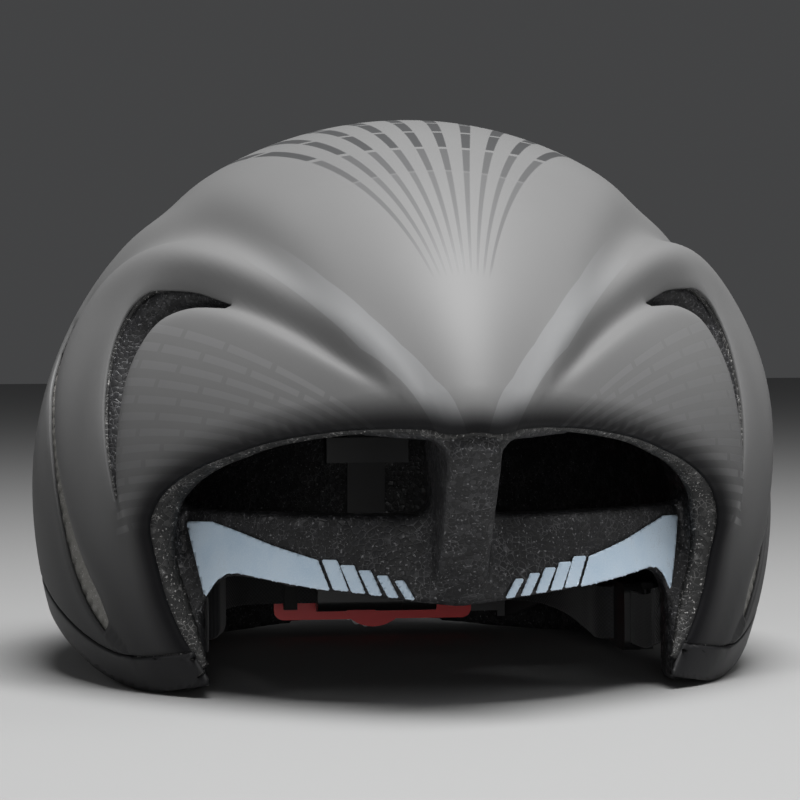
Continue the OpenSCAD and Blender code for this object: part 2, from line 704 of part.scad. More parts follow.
// Racks that the pinion draws together, one over it and one under it
tooth_pitch = 2 * PI * pinion_r / pinion_teeth;
tooth_in = 0.4;
tooth_out = 0.9;
rack_teeth = 6;
module rack_bar(reach) {
    root = pinion_r + tooth_out;
    linear_extrude(rack_thick, center = true) {
        translate([-rack_end, root])
            square([rack_end + reach, rack_back]);
        for (i = [0 : rack_teeth - 1]) {
            x = (0.5 - i) * tooth_pitch + tooth_pitch;
            polygon([[x - 0.6, root + eps], [x - 0.3, pinion_r - tooth_in], [x + 0.3, pinion_r - tooth_in],
                [x + 0.6, root + eps]]);
        }
    }
}
module rack_left() {
    color("#2a2b2e") {
        translate([0, cradle_back, dial_height])
            rotate([90, 0, 0])
                rack_bar(2.2 * tooth_pitch);
        translate([-rack_end - 0.02, cradle_back - 1.2, top_rack_z - arm_tall / 2])
            cube([2.4, 2.4, arm_tall]);
    }
}
module rack_right() {
    color("#2a2b2e") {
        translate([0, cradle_back, dial_height])
            rotate([90, 180, 0])
                rack_bar(2.2 * tooth_pitch);
        translate([rack_end + 0.02 - 2.4, cradle_back - 1.2, low_rack_z + 1.4 - arm_tall / 2])
            cube([2.4, 2.4, arm_tall]);
    }
}

// Red cradle: hub, housing for the racks and two swept wings
channel_half = pinion_r + tooth_out + rack_back + rack_gap;
house_half = channel_half + cradle_wall;
channel_front = cradle_back - rack_thick / 2 - rack_gap;
channel_rear = cradle_back + rack_thick / 2 + rack_gap;
house_front = channel_front - cradle_wall;
cover_thick = 1.6;
cover_rear = channel_rear + cover_thick;
journal_r = 1.8;
shaft_r = 2;
module along_y(y, h, x = 0, z = dial_height) {
    translate([x, y, z])
        rotate([-90, 0, 0])
            linear_extrude(h)
                children();
}
module house_outline(half_long, half_tall) {
    r = 3;
    for (sx = [-1, 1]) {
        for (sy = [-1, 1]) {
            translate([sx * (half_long - r), sy * (half_tall - r)])
                circle(r = r, $fn = 24);
        }
    }
    square([2 * half_long, 2 * (half_tall - r)], center = true);
    square([2 * (half_long - r), 2 * half_tall], center = true);
}
wing_r = head_half_length - 17.4;
module wing(side) {
    intersection() {
        translate([0, head_back, 0])
            difference() {
                cylinder(r = wing_r, h = 60, $fn = 120);
                translate([0, 0, -1])
                    cylinder(r = wing_r - 2, h = 62, $fn = 120);
            }
        translate([0, 60, 0])
            rotate([-90, 0, 0])
                linear_extrude(60)
                    mirror([side < 0 ? 1 : 0, 0])
                        polygon([[29, -dial_height - 4], [33, -dial_height - 6], [43, -dial_height - 10],
                            [52, -dial_height - 18], [51.5, -dial_height - 22], [46, -dial_height - 22.5],
                            [38, -dial_height - 18], [29, -dial_height - 12]]);
    }
}
module cradle() {
    color("#8c0f12") {
        difference() {
            union() {
                along_y(house_front, channel_rear - house_front)
                    house_outline(cradle_half, house_half);
                along_y(house_front - 1.5, 1.6)
                    circle(r = hub_r, $fn = 64);
            }
            translate([-cradle_half - 1, channel_front, dial_height - channel_half])
                cube([2 * cradle_half + 2, channel_rear - channel_front + 1, 2 * channel_half]);
            along_y(house_front - 0.4, 4)
                circle(r = journal_r + run_gap, $fn = 40);
            for (side = [-1, 1]) {
                along_y(house_front + 0.4, 8, side * screw_x, dial_height)
                    circle(r = screw_r + 0.1, $fn = 24);
            }
        }
        for (side = [-1, 1]) {
            difference() {
                along_y(channel_front - eps, channel_rear - channel_front - 0.1, side * screw_x, dial_height)
                    circle(r = screw_r + 1.3, $fn = 24);
                along_y(house_front + 0.4, 8, side * screw_x, dial_height)
                    circle(r = screw_r + 0.1, $fn = 24);
            }
        }
        wing(1);
        wing(-1);
        hanger_foot();
    }
}

// Cover behind the racks, with the bore for the dial's shaft
screw_x = 24;
screw_r = 1.1;
module cradle_cover() {
    color("#1d1e20") {
        difference() {
            union() {
                along_y(channel_rear + 0.02, cover_thick)
                    house_outline(cradle_half - 0.5, house_half - 0.5);
                along_y(channel_rear + 0.02, cover_thick + 0.8)
                    circle(r = hub_r - 2, $fn = 48);
            }
            along_y(channel_rear - 1, 6)
                circle(r = shaft_r + run_gap, $fn = 40);
            for (side = [-1, 1]) {
                along_y(channel_rear - 1, 6, side * screw_x, dial_height)
                    circle(r = screw_r + 0.1, $fn = 24);
            }
        }
    }
}
module cradle_screws() {
    color("#8d9094") {
        for (side = [-1, 1]) {
            along_y(channel_front + 0.6, cover_rear - channel_front - 0.5, side * screw_x, dial_height)
                circle(r = screw_r, $fn = 24);
            along_y(cover_rear + 0.06, 1.2, side * screw_x, dial_height)
                circle(r = 2.1, $fn = 32);
        }
    }
}

// Dial: pinion with its shaft, knurled clear wheel and red cap
tip_r = pinion_r + 0.6;
root_r = pinion_r - 0.9;
module pinion() {
    color("#c9ccd0") {
        along_y(cradle_back - rack_thick / 2 + 0.1, rack_thick - 0.2) {
            circle(r = root_r, $fn = 32);
            for (i = [0 : pinion_teeth - 1]) {
                rotate([0, 0, i * 360 / pinion_teeth])
                    polygon([[-0.62, root_r - 0.3], [-0.25, tip_r], [0.25, tip_r], [0.62, root_r - 0.3]]);
            }
        }
        along_y(house_front + 0.2, cradle_back - house_front)
            circle(r = journal_r, $fn = 40);
        along_y(cradle_back, wheel_back - cradle_back)
            circle(r = shaft_r, $fn = 40);
    }
}
wheel_front = cover_rear + 1.3;
wheel_back = wheel_front + wheel_wide;
module dial_wheel() {
    color([0.85, 0.87, 0.88, 0.75]) {
        difference() {
            along_y(wheel_front, wheel_wide) {
                circle(r = wheel_r - 0.9, $fn = 72);
                for (i = [0 : knurls - 1]) {
                    rotate([0, 0, (i + 0.5) * 360 / knurls])
                        translate([wheel_r - 1.2, 0])
                            circle(r = 1.2, $fn = 12);
                }
            }
            along_y(wheel_front - 1, wheel_wide + 2)
                circle(r = shaft_r + run_gap, $fn = 40);
            along_y(wheel_back - 1.6, 3)
                circle(r = wheel_r - 3.2, $fn = 48);
        }
    }
}
module dial_cap() {
    color("#7d0d10") {
        difference() {
            along_y(wheel_back - 1.5, 1.7)
                circle(r = wheel_r - 3.4, $fn = 48);
            along_y(wheel_back - 2, 2.1)
                circle(r = shaft_r + run_gap, $fn = 40);
        }
    }
}

// Hanger: an arc around the temple pins, from the cradle up through its guide
hanger_foot_z = dial_height + house_half;
hanger_low = asin((hanger_foot_z + 6.1 - pin_height) / hanger_r);
module hanger_arc(r_in, r_out, wide, from, to) {
    translate([0, -pin_front, pin_height])
        rotate([0, 0, 90])
            rotate([90, 0, 0])
                rotate([0, 0, from])
                    translate([0, 0, -wide / 2])
                        rotate_extrude(angle = to - from, $fn = 180)
                            translate([r_in, 0])
                                square([r_out - r_in, wide]);
}
module hanger_foot() {
    translate([-hanger_wide / 2, channel_front, hanger_foot_z - 1])
        cube([hanger_wide, 1.9, 6]);
    translate([-hanger_wide / 2, channel_front, hanger_foot_z + 4])
        cube([hanger_wide, hanger_r - pin_front - channel_front + 1.8, 2]);
}
module hanger_strap() {
    color("#26272a") {
        hanger_arc(hanger_r, hanger_r + hanger_thick, hanger_wide, hanger_low, 20);
    }
}
guide_half = hanger_wide / 2 + 7;
guide_low = 53;
guide_high = 61;
guide_rear = head_back + head_half_length * sqrt(1 - pow((guide_high - dome_line) / dome_rise, 2)
    - pow(guide_half / head_half_width, 2)) - 2 * soft_gap;
guide_front = hanger_r - pin_front - 6;
module hanger_guide() {
    color("#1b1c1e") {
        difference() {
            translate([-guide_half, guide_front, guide_low])
                cube([2 * guide_half, guide_rear - guide_front, guide_high - guide_low]);
            hanger_arc(hanger_r - 0.3, hanger_r + hanger_thick + 0.3, hanger_wide + 0.6, 0, 30);
        }
    }
}

// Small pads on the wings of the cradle
module occipital_pad(side) {
    color("#202124") {
        intersection() {
            translate([0, head_back, 0])
                difference() {
                    cylinder(r = wing_r - 2.4, h = 60, $fn = 72);
                    translate([0, 0, -1])
                        cylinder(r = wing_r - 5.4, h = 62, $fn = 72);
                }
            translate([0, 60, 0])
                rotate([-90, 0, 0])
                    linear_extrude(60)
                        mirror([side < 0 ? 1 : 0, 0])
                            polygon([[32, -dial_height - 8.5], [42, -dial_height - 12], [49.5, -dial_height - 18.5],
                                [46, -dial_height - 20.5], [37, -dial_height - 16.5], [32, -dial_height - 13.5]]);
        }
    }
}
module occipital_pad_left() {
    occipital_pad(-1);
}
module occipital_pad_right() {
    occipital_pad(1);
}

// Anchors that hold the webbing to the liner's inner side
front_anchor_y = -50;
rear_anchor_y = 60;
anchor_z = 18;
web_z = 12.4;
module wall_disc(side, y, z) {
    nx = wall_x(y) / pow(head_half_width, 2);
    ny = (y - head_back) / pow(head_half_length, 2);
    translate([side * wall_x(y), y, z])
        rotate([0, 0, side > 0 ? atan2(ny, nx) : 180 - atan2(ny, nx)])
            translate([-1.9, 0, 0])
                rotate([0, 90, 0])
                    cylinder(r = 6, h = 1.5, $fn = 32);
}
module strap_anchors() {
    color("#1b1c1e") {
        for (side = [1, -1]) {
            wall_disc(side, front_anchor_y, anchor_z);
            wall_disc(side, rear_anchor_y, anchor_z);
        }
    }
}

// Webbing from the anchors to the dividers
function web_spot(y, z) = [wall_x(y) - 3.3, y, z];
divider_y = 4;
module front_webbing_right() {
    color("#1f2022") {
        ribbon(curve([web_spot(front_anchor_y - 5, anchor_z - 1), web_spot(front_anchor_y, anchor_z - 1),
            [divider_half + 1.8, -34, 15],
            [divider_half + 1.2, -20, web_z], [divider_half, divider_y - divider_long / 2 - 1, web_z],
            [divider_half, divider_y - 1.5, web_z]], 12), web_thick, web_wide);
    }
}
module front_webbing_left() {
    mirror([1, 0, 0]) front_webbing_right();
}
module rear_webbing_right() {
    color("#1f2022") {
        ribbon(curve([web_spot(rear_anchor_y + 5, anchor_z - 3), web_spot(rear_anchor_y, anchor_z - 3),
            [divider_half + 2.6, 44, 13],
            [divider_half + 1.2, 28, web_z], [divider_half, divider_y + divider_long / 2 + 1, web_z],
            [divider_half, divider_y + 1.5, web_z]], 12), web_thick, web_wide);
    }
}
module rear_webbing_left() {
    mirror([1, 0, 0]) rear_webbing_right();
}

// Strap divider with its cam lever
cam_y = divider_y - 6;
cam_x = divider_half + divider_thick / 2 + 0.4 + cam_pin_r + 0.6;
lug = 1.8;
module divider_right() {
    color("#17181a") {
        difference() {
            translate([divider_half, divider_y, web_z])
                rotate([0, 90, 0])
                    linear_extrude(divider_thick, center = true)
                        house_outline(divider_tall / 2, divider_long / 2);
            translate([divider_half, divider_y, web_z])
                cube([web_thick + 0.5, divider_long + 2, web_wide + 0.5], center = true);
            translate([divider_half - divider_thick / 2, divider_y + 5, web_z])
                cube([divider_thick, web_thick + 1, web_wide + 0.5], center = true);
        }
        for (side = [-1, 1]) {
            difference() {
                translate([divider_half + divider_thick / 2 - 0.1, cam_y - 2.2,
                    web_z + side * (divider_tall / 2 - lug / 2) - lug / 2])
                    cube([cam_x - divider_half - divider_thick / 2 + 2, 4.4, lug]);
                translate([cam_x, cam_y, web_z - divider_tall])
                    cylinder(r = cam_pin_r + run_gap, h = 2 * divider_tall, $fn = 24);
            }
        }
    }
}
module divider_left() {
    mirror([1, 0, 0]) divider_right();
}
module cam_lever_right() {
    color("#17181a") {
        half = divider_tall / 2 - lug - 0.25;
        translate([cam_x, cam_y, web_z - divider_tall / 2 + 0.2])
            cylinder(r = cam_pin_r, h = divider_tall - 0.4, $fn = 24);
        translate([cam_x, cam_y, web_z - half])
            cylinder(r = cam_pin_r + 0.6, h = 2 * half, $fn = 32);
        translate([cam_x - 0.6, cam_y, web_z - half])
            cube([2.2, cam_long, 2 * half]);
    }
}
module cam_lever_left() {
    mirror([1, 0, 0]) cam_lever_right();
}

// Chin strap in two parts, joined by the side-release buckle
buckle_y = 62;
socket_mouth = 6;
socket_back = socket_mouth - socket_long;
plug_base = 10;
strap_bar = 2.4;
chin_exit = [divider_half - divider_thick / 2 + 1.4, divider_y + 5, web_z];
module chin_strap_right() {
    color("#1f2022") {
        ribbon(curve([chin_exit, [divider_half - 4, chin_exit[1], web_z], [divider_half - 6.8, 13, web_z],
            [divider_half - 8, 22, web_z + 1.5], [divider_half - 11.5, 42, web_z + 5], [45, 56, buckle_height],
            [34, buckle_y - 0.6, buckle_height], [socket_mouth + plug_base + 4, buckle_y, buckle_height],
            [socket_mouth + plug_base - 3.2, buckle_y, buckle_height]], 14), web_thick, web_wide);
    }
}
module chin_strap_left() {
    color("#1f2022") {
        mirror([1, 0, 0])
            ribbon(curve([chin_exit, [divider_half - 4, chin_exit[1], web_z], [divider_half - 6.8, 13, web_z],
            [divider_half - 8, 22, web_z + 1.5], [divider_half - 11.5, 42, web_z + 5],
                [45, 56, buckle_height], [34, buckle_y - 0.6, buckle_height], [-socket_back + 4, buckle_y, buckle_height],
                [-socket_back - 2.6, buckle_y, buckle_height]], 14), web_thick, web_wide);
    }
}
module buckle_socket() {
    color("#131415") {
        difference() {
            translate([socket_back, buckle_y, buckle_height])
                rotate([0, 90, 0])
                    linear_extrude(socket_long)
                        house_outline(buckle_tall / 2, buckle_thick / 2);
            translate([socket_back + 6, buckle_y, buckle_height])
                translate([0, -buckle_thick / 2 + buckle_wall, -buckle_tall / 2 + buckle_wall])
                    cube([socket_long, buckle_thick - 2 * buckle_wall, buckle_tall - 2 * buckle_wall]);
            translate([socket_back - 1, buckle_y - web_thick / 2 - 0.25, buckle_height - web_wide / 2 - 0.25])
                cube([4.2, web_thick + 0.5, web_wide + 0.5]);
            for (side = [-1, 1]) {
                translate([socket_back + 9, buckle_y - buckle_thick / 2 + buckle_wall,
                    buckle_height + side * buckle_tall / 2 - 3])
                    cube([9, buckle_thick - 2 * buckle_wall, 6]);
            }
        }
    }
}
prong_long = 17;
module buckle_plug() {
    color("#131415") {
        inner_tall = buckle_tall - 2 * buckle_wall - 2 * plug_gap;
        inner_thick = buckle_thick - 2 * buckle_wall - 2 * plug_gap;
        difference() {
            translate([socket_mouth + 0.3, buckle_y, buckle_height])
                rotate([0, 90, 0])
                    linear_extrude(plug_base)
                        house_outline(buckle_tall / 2, buckle_thick / 2);
            translate([socket_mouth + plug_base - 4, buckle_y - web_thick / 2 - 0.25,
                buckle_height - web_wide / 2 - 0.25])
                cube([5, web_thick + 0.5, web_wide + 0.5]);
        }
        for (side = [-1, 1]) {
            translate([socket_mouth + 0.4 - prong_long, buckle_y - inner_thick / 2,
                buckle_height + side * (inner_tall / 2 - 1.5) - 1.5])
                cube([prong_long, inner_thick, 3]);
            translate([socket_mouth + 0.4 - prong_long, buckle_y - inner_thick / 2,
                buckle_height + side * (inner_tall / 2 - 2.2) - 2.2])
                cube([5, inner_thick, 4.4]);
        }
        translate([socket_mouth + 0.4 - prong_long + 3, buckle_y - 1, buckle_height - 1.5])
            cube([prong_long - 3, 2, 3]);
    }
}

// Keeper ring and chin pad on the left strap
module keeper_ring() {
    color("#1a1a1b") {
        x = socket_back - 8;
        difference() {
            translate([x - 2, buckle_y - 2.2, buckle_height - web_wide / 2 - 1.8])
                cube([4, 4.4, web_wide + 3.6]);
            translate([x - 3, buckle_y - web_thick / 2 - 0.5, buckle_height - web_wide / 2 - 0.4])
                cube([6, web_thick + 1, web_wide + 0.8]);
        }
    }
}
module chin_pad() {
    color("#202124") {
        difference() {
            translate([-54.2, 32, web_z + 3.2])
                rotate([0, 0, 80])
                    rotate([0, 90, 0])
                        linear_extrude(16, center = true)
                            house_outline(web_wide / 2 + 3.2, 4);
            translate([-54.2, 32, web_z + 3.2])
                rotate([0, 0, 80])
                    cube([20, web_thick + 1.6, web_wide + 4], center = true);
        }
    }
}

outer_shell();
lower_wrap();
eps_liner();
brow_sticker_left();
brow_sticker_right();
brow_pad();
crown_pad_left();
crown_pad_right();
side_pad_left();
side_pad_right();
rear_pad_left();
rear_pad_right();
hook_dots();
temple_anchor_left();
temple_anchor_right();
strap_anchors();
front_webbing_left();
front_webbing_right();
rear_webbing_left();
rear_webbing_right();
divider_left();
divider_right();
cam_lever_left();
cam_lever_right();
chin_strap_left();
chin_strap_right();
chin_pad();
keeper_ring();
buckle_socket();
buckle_plug();
temple_ring_left();
temple_ring_right();
side_arm_left();
side_arm_right();
rack_left();
rack_right();
cradle();
cradle_cover();
cradle_screws();
hanger_strap();
hanger_guide();
occipital_pad_left();
occipital_pad_right();
dial_wheel();
dial_cap();
pinion();
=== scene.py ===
# %% [markdown]
# # An aero road helmet, dressed over its CAD frame
# The real helmet is a thin painted polycarbonate shell bonded over a block of bead foam. The air goes in
# through one wide mouth in front and two deep vents at the sides. Inside are soft pads, webbing, and a red
# cradle whose clear dial draws two side arms together. The CAD model fixes every size, so this script only
# adds what a CAD solid cannot show: the fine flowing relief, the paint, the foam beads, the cloth and the weave.

# %% Load the frame
import math
import bmesh
import bpy
import numpy as np
from mathutils import Matrix


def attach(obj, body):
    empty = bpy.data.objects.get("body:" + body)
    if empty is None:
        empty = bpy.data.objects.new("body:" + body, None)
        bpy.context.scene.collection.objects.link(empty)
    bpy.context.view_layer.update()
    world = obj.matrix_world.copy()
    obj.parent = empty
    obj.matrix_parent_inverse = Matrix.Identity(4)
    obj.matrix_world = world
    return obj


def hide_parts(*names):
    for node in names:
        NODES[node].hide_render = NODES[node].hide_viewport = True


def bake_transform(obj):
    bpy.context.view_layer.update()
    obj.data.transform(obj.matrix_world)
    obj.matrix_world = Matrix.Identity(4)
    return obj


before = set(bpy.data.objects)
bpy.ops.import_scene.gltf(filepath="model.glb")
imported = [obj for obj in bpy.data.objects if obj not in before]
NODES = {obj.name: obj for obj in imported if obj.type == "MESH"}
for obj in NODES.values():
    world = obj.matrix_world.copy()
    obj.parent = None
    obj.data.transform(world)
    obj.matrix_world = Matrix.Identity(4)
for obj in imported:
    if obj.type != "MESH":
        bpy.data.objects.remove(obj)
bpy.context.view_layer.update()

# %% [markdown]
# ## Camera and studio
# The photograph is taken nearly level, close to the helmet's nose, and a little from its left. A long lens at
# 0.87 m gives the same frame. The floor is plain and pale, and four soft lamps stand in for the studio: one
# overhead that makes the crown the brightest part, two weak ones at the sides that draw the edges, and a low
# one in front that reaches the foam bar, its reflective strips and the red cradle behind.

# %% Camera
def put(name, data):
    """Object of a mesh, camera or lamp, linked to the scene."""
    obj = bpy.data.objects.new(name, data)
    bpy.context.scene.collection.objects.link(obj)
    return obj

def photo_camera(place, yaw, down, roll, lens):
    """Camera at the photograph's view: turned by yaw about Z, tipped down, then rolled about its own axis."""
    data = bpy.data.cameras.new("photo_camera")
    data.sensor_width, data.lens, data.clip_start = 36.0, lens, 0.02
    cam = put("photo_camera", data)
    turn = [Matrix.Rotation(math.radians(a), 4, k) for a, k in ((yaw, "Z"), (90 - down, "X"), (roll, "Z"))]
    cam.matrix_world = Matrix.Translation(place) @ turn[0] @ turn[1] @ turn[2]
    bpy.context.scene.camera = cam
    return cam

photo_camera(place=(-0.1066, -0.8681, 0.0918), yaw=-6.9, down=1.12, roll=-0.37, lens=138.5)

# %% Mesh helpers
def new_object(name, verts, faces, smooth=True):
    """Mesh object from arrays of points in metres and of faces, left at the origin."""
    mesh = bpy.data.meshes.new(name)
    mesh.from_pydata(np.asarray(verts).tolist(), [], [list(map(int, f)) for f in faces])
    mesh.update()
    mesh.polygons.foreach_set("use_smooth", np.full(len(mesh.polygons), smooth))
    return put(name, mesh)

def add_attribute(obj, name, values):
    """Vertex attribute of one number or of three, written in one go."""
    values = np.asarray(values, dtype=np.float32)
    kind = "FLOAT" if values.ndim == 1 else "FLOAT_VECTOR"
    layer = obj.data.attributes.new(name, kind, "POINT")
    layer.data.foreach_set("value" if values.ndim == 1 else "vector", values.ravel())

def apply_modifiers(obj):
    """The object's mesh becomes what its modifiers show."""
    graph = bpy.context.evaluated_depsgraph_get()
    mesh = bpy.data.meshes.new_from_object(obj.evaluated_get(graph))
    obj.modifiers.clear()
    old, obj.data = obj.data, mesh
    bpy.data.meshes.remove(old)
    return obj

def get_points(mesh):
    """Places of a mesh's vertices in metres, a row for each."""
    co = np.empty(len(mesh.vertices) * 3)
    mesh.vertices.foreach_get("co", co)
    return co.reshape(-1, 3)

def set_points(mesh, points):
    """Moves a mesh's vertices to the points."""
    mesh.vertices.foreach_set("co", points.ravel())
    mesh.update()

def with_bmesh(obj, job):
    """Does one bmesh job on the object's mesh."""
    mesh = bmesh.new()
    mesh.from_mesh(obj.data)
    job(mesh)
    mesh.to_mesh(obj.data)
    mesh.free()

def sound(tris):
    """The triangles that have three different corners."""
    a, b, c = tris.T
    return tris[(a != b) & (b != c) & (c != a)]

def turned_in(points, faces, middle, weights=(1, 1, 1)):
    """True when the faces look mostly inwards, judged from a middle point."""
    p, q, r = (points[faces[:, k]] for k in range(3))
    return (np.cross(q - p, r - p) * (points[faces].mean(1) - middle) * weights).sum() < 0

def grid_cells(rows, columns):
    """Row number and column number of every cell of a grid."""
    return (k.ravel() for k in np.meshgrid(np.arange(rows), np.arange(columns), indexing="ij"))

def tube_faces(n, m):
    """Faces of a closed tube of n sections with m spots each, and of its two ends."""
    i, j = grid_cells(n - 1, m)
    p, q = i * m + j, i * m + (j + 1) % m
    ends = [list(range(m))[::-1], list(range((n - 1) * m, n * m))]
    return np.stack([p, q, q + m, p + m], -1).tolist() + ends

# %% Floor, lamps and world
def quad(name, corners):
    """One flat four-sided sheet."""
    return new_object(name, corners, [(0, 1, 2, 3)], smooth=False)

def plain_material(name, color, rough):
    """Material of one colour and one roughness."""
    mat = bpy.data.materials.new(name)
    mat.use_nodes = True
    bsdf = mat.node_tree.nodes["Principled BSDF"]
    bsdf.inputs["Base Color"].default_value = (*color, 1)
    bsdf.inputs["Roughness"].default_value = rough
    return mat

def soft_lamp(name, place, aim, size, power):
    """Square area lamp that looks from its place at a point."""
    data = bpy.data.lights.new(name, "AREA")
    data.shape, data.size, data.energy = "SQUARE", size, power
    lamp = put(name, data)
    away = np.array(place) - np.array(aim)
    away = away / np.linalg.norm(away)
    right = np.cross((0.0, 0.0, 1.0) if abs(away[2]) < 0.99 else (0.0, 1.0, 0.0), away)
    right = right / np.linalg.norm(right)
    up = np.cross(away, right)
    lamp.matrix_world = Matrix([[right[i], up[i], away[i], place[i]] for i in range(3)] + [[0, 0, 0, 1]])
    return lamp

FLOOR_HALF, FLOOR_Z = 6.0, -0.0005
corners = [(x * FLOOR_HALF, y * FLOOR_HALF, FLOOR_Z) for x, y in ((-1, -1), (1, -1), (1, 1), (-1, 1))]
floor = quad("floor", corners)
floor.data.materials.append(plain_material("pale_floor", (0.31, 0.31, 0.31), 0.8))
LAMPS = {  # place and aim in metres, size in metres, power in watts
    "lamp_over": ((0.10, -0.34, 1.25), (0, -0.02, 0.08), 0.75, 31.0),
    "lamp_left": ((-1.10, -0.35, 0.75), (0, 0, 0.08), 0.6, 1.2),
    "lamp_right": ((1.10, -0.25, 0.80), (0, 0, 0.08), 0.6, 2.4),
    "lamp_front": ((-0.15, -1.60, 0.14), (0, 0.05, 0.03), 0.4, 3.4)}
for name, values in LAMPS.items():
    soft_lamp(name, *values)
world = bpy.data.worlds.new("studio")
bpy.context.scene.world = world
world.use_nodes = True
sky = world.node_tree.nodes["Background"].inputs
sky["Color"].default_value, sky["Strength"].default_value = (0.80, 0.81, 0.83, 1), 0.07
bpy.context.scene.view_settings.view_transform = "Standard"

# %% [markdown]
# ## The skin as a function of two parameters
# Every spot of the outer skin is found from an angle round the helmet, counted from the top, and a distance
# along it. A plain form gives the width, rise and depth for each distance. Relief is then added from a few
# drawn courses: each is a line over the skin, and a spot gains or loses height by its distance from that line.
# The plain form has the CAD source's numbers. The courses are drawn once more here, closer to the photograph,
# and the openings' edges lie up to 10 mm from the solid's.

# %% The plain form
HALF_WIDTH, CROWN, DEPTH, SIDE_LINE = 105.5, 104.0, 118.0, 50.0
NOSE, TAIL, TAPER = 150.0, 144.5, 0.66
WIDEST, HIGHEST, DEEPEST = 15.0, 5.0, 10.0
SHEET = 1.6  # mm along the skin for one degree, on the flattened sheet
LEAST = 0.02  # keeps the ellipse's half axes over nothing at the tips

def plain_radius(a, y):
    """Radius in mm of an ellipse across the helmet. Its half width is widest at y = 15, its rise over the side
    line highest at 5, its depth under that line deepest at 10, and all three shrink towards nose and tail."""
    def shares(mid):
        return np.clip((mid - y) / (mid + NOSE), 0, 1), np.clip((y - mid) / (TAIL - mid), 0, 1)
    s, t = shares(WIDEST)
    wide = HALF_WIDTH * np.where(y < WIDEST, np.sqrt(1 - s * s) * (1 - TAPER * s ** 2.5), np.sqrt(1 - t ** 2.3))
    s, t = shares(HIGHEST)
    rise = CROWN * np.where(y < HIGHEST, (1 - s * s) ** 0.62, (1 - t ** 2.6) ** 0.7)
    s, t = shares(DEEPEST)
    depth = DEPTH * np.where(y < DEEPEST, np.sqrt(1 - s * s), (1 - t ** 2.5) ** 0.8)
    ar = np.radians(a)
    v = np.where(np.cos(ar) >= 0, rise, depth)
    return 1 / np.sqrt((np.sin(ar) / np.maximum(LEAST, wide)) ** 2 + (np.cos(ar) / np.maximum(LEAST, v)) ** 2)

def curve(points, pieces):
    """Smooth line through the points: Catmull-Rom, cut into equal shares of the parameter."""
    p = np.asarray(points, dtype=float)
    s = np.linspace(0, len(p) - 1, pieces + 1)
    i = np.minimum(np.floor(s).astype(int), len(p) - 2)
    t = (s - i)[:, None]
    a, b, c, d = (p[np.clip(i + k, 0, len(p) - 1)] for k in (-1, 0, 1, 2))
    return 0.5 * (2 * b + (c - a) * t + (2 * a - 5 * b + 4 * c - d) * t ** 2 + (3 * b - a - 3 * c + d) * t ** 3)

# %% Courses of the relief: angle, distance along the helmet and strength
CREST = curve([[24, -139, 0.2], [30, -128, 0.7], [35, -111, 1], [39, -88, 1], [43, -66, 1], [48, -43, 1],
               [56, -28, 1], [66, -24, 1], [78, -29, 0.9], [92, -38, 0.8], [106, -50, 0.6], [118, -60, 0.3]], 60)
GROOVE = curve([[34, -115, 0.2], [35, -102, 0.7], [36, -85, 1], [38, -62, 1], [41, -42, 1], [45.5, -20, 0.8],
                [51, -7, 0.6], [58, 1, 0.6], [66, 6, 0.6], [74, 2, 0.6], [84, -15, 0.4], [96, -30, 0.3],
                [112, -46, 0]], 60)
HOOD = curve([[36, -85, 0], [37, -60, 0.3], [38.5, -30, 0.5], [40, 0, 0.5], [42, 40, 0.5], [44, 80, 0.4],
              [46, 118, 0.2]], 30)
SCOOP = curve([[32, -129, 0.2], [37, -118, 0.7], [40.5, -104, 1], [43.5, -90, 1], [46, -78, 1], [50, -64, 1],
               [56, -54, 1], [66, -51, 0.8], [78, -54, 0.6], [92, -58, 0.5], [106, -66, 0.35],
               [122, -74, 0.2]], 60)
RIM = curve([[0, -142, 1], [12, -141.3, 1], [26, -138.2, 1], [40, -131, 1], [52, -123, 1], [64, -111.2, 1],
             [75, -95.5, 1], [80, -86.5, 1], [84, -79, 1], [87, -74, 1], [90, -70.2, 1], [95, -66.6, 1],
             [101, -65.5, 1], [108, -66.6, 1], [116, -69.8, 1], [124, -74, 1], [136, -82, 1]], 90)
SLIT = curve([[63, 17, 0.3], [68, 16, 0.7], [73, 9, 1], [78, -5, 1], [83, -18, 1], [89, -26, 1], [94, -31, 1],
              [99, -35, 1], [104, -40, 1], [108, -45, 0.9], [111.5, -50, 0.5]], 44)

CREST_HIGH, GROOVE_DEEP, HOOD_DEEP, BELL_WIDE = 3.2, 3.8, 2.4, 8.0
SCOOP_DEEP, SCOOP_REAR, SCOOP_FRONT = 5.6, 6.2, 4.6
LIP_DEPTH = 5.5
LIP_REACH = (0, 20, 50, 80), (3.0, 3.5, 5.5, 8.0)  # angles, and how far the lip reaches there
SLIT_HALF, SLIT_STEP_UP, SLIT_RUN = 2.0, 3.2, 9.0
FAR = 28.0  # relief ends before this distance from a course
AXIS_ROOM = 0.05  # no spot comes nearer to the axis

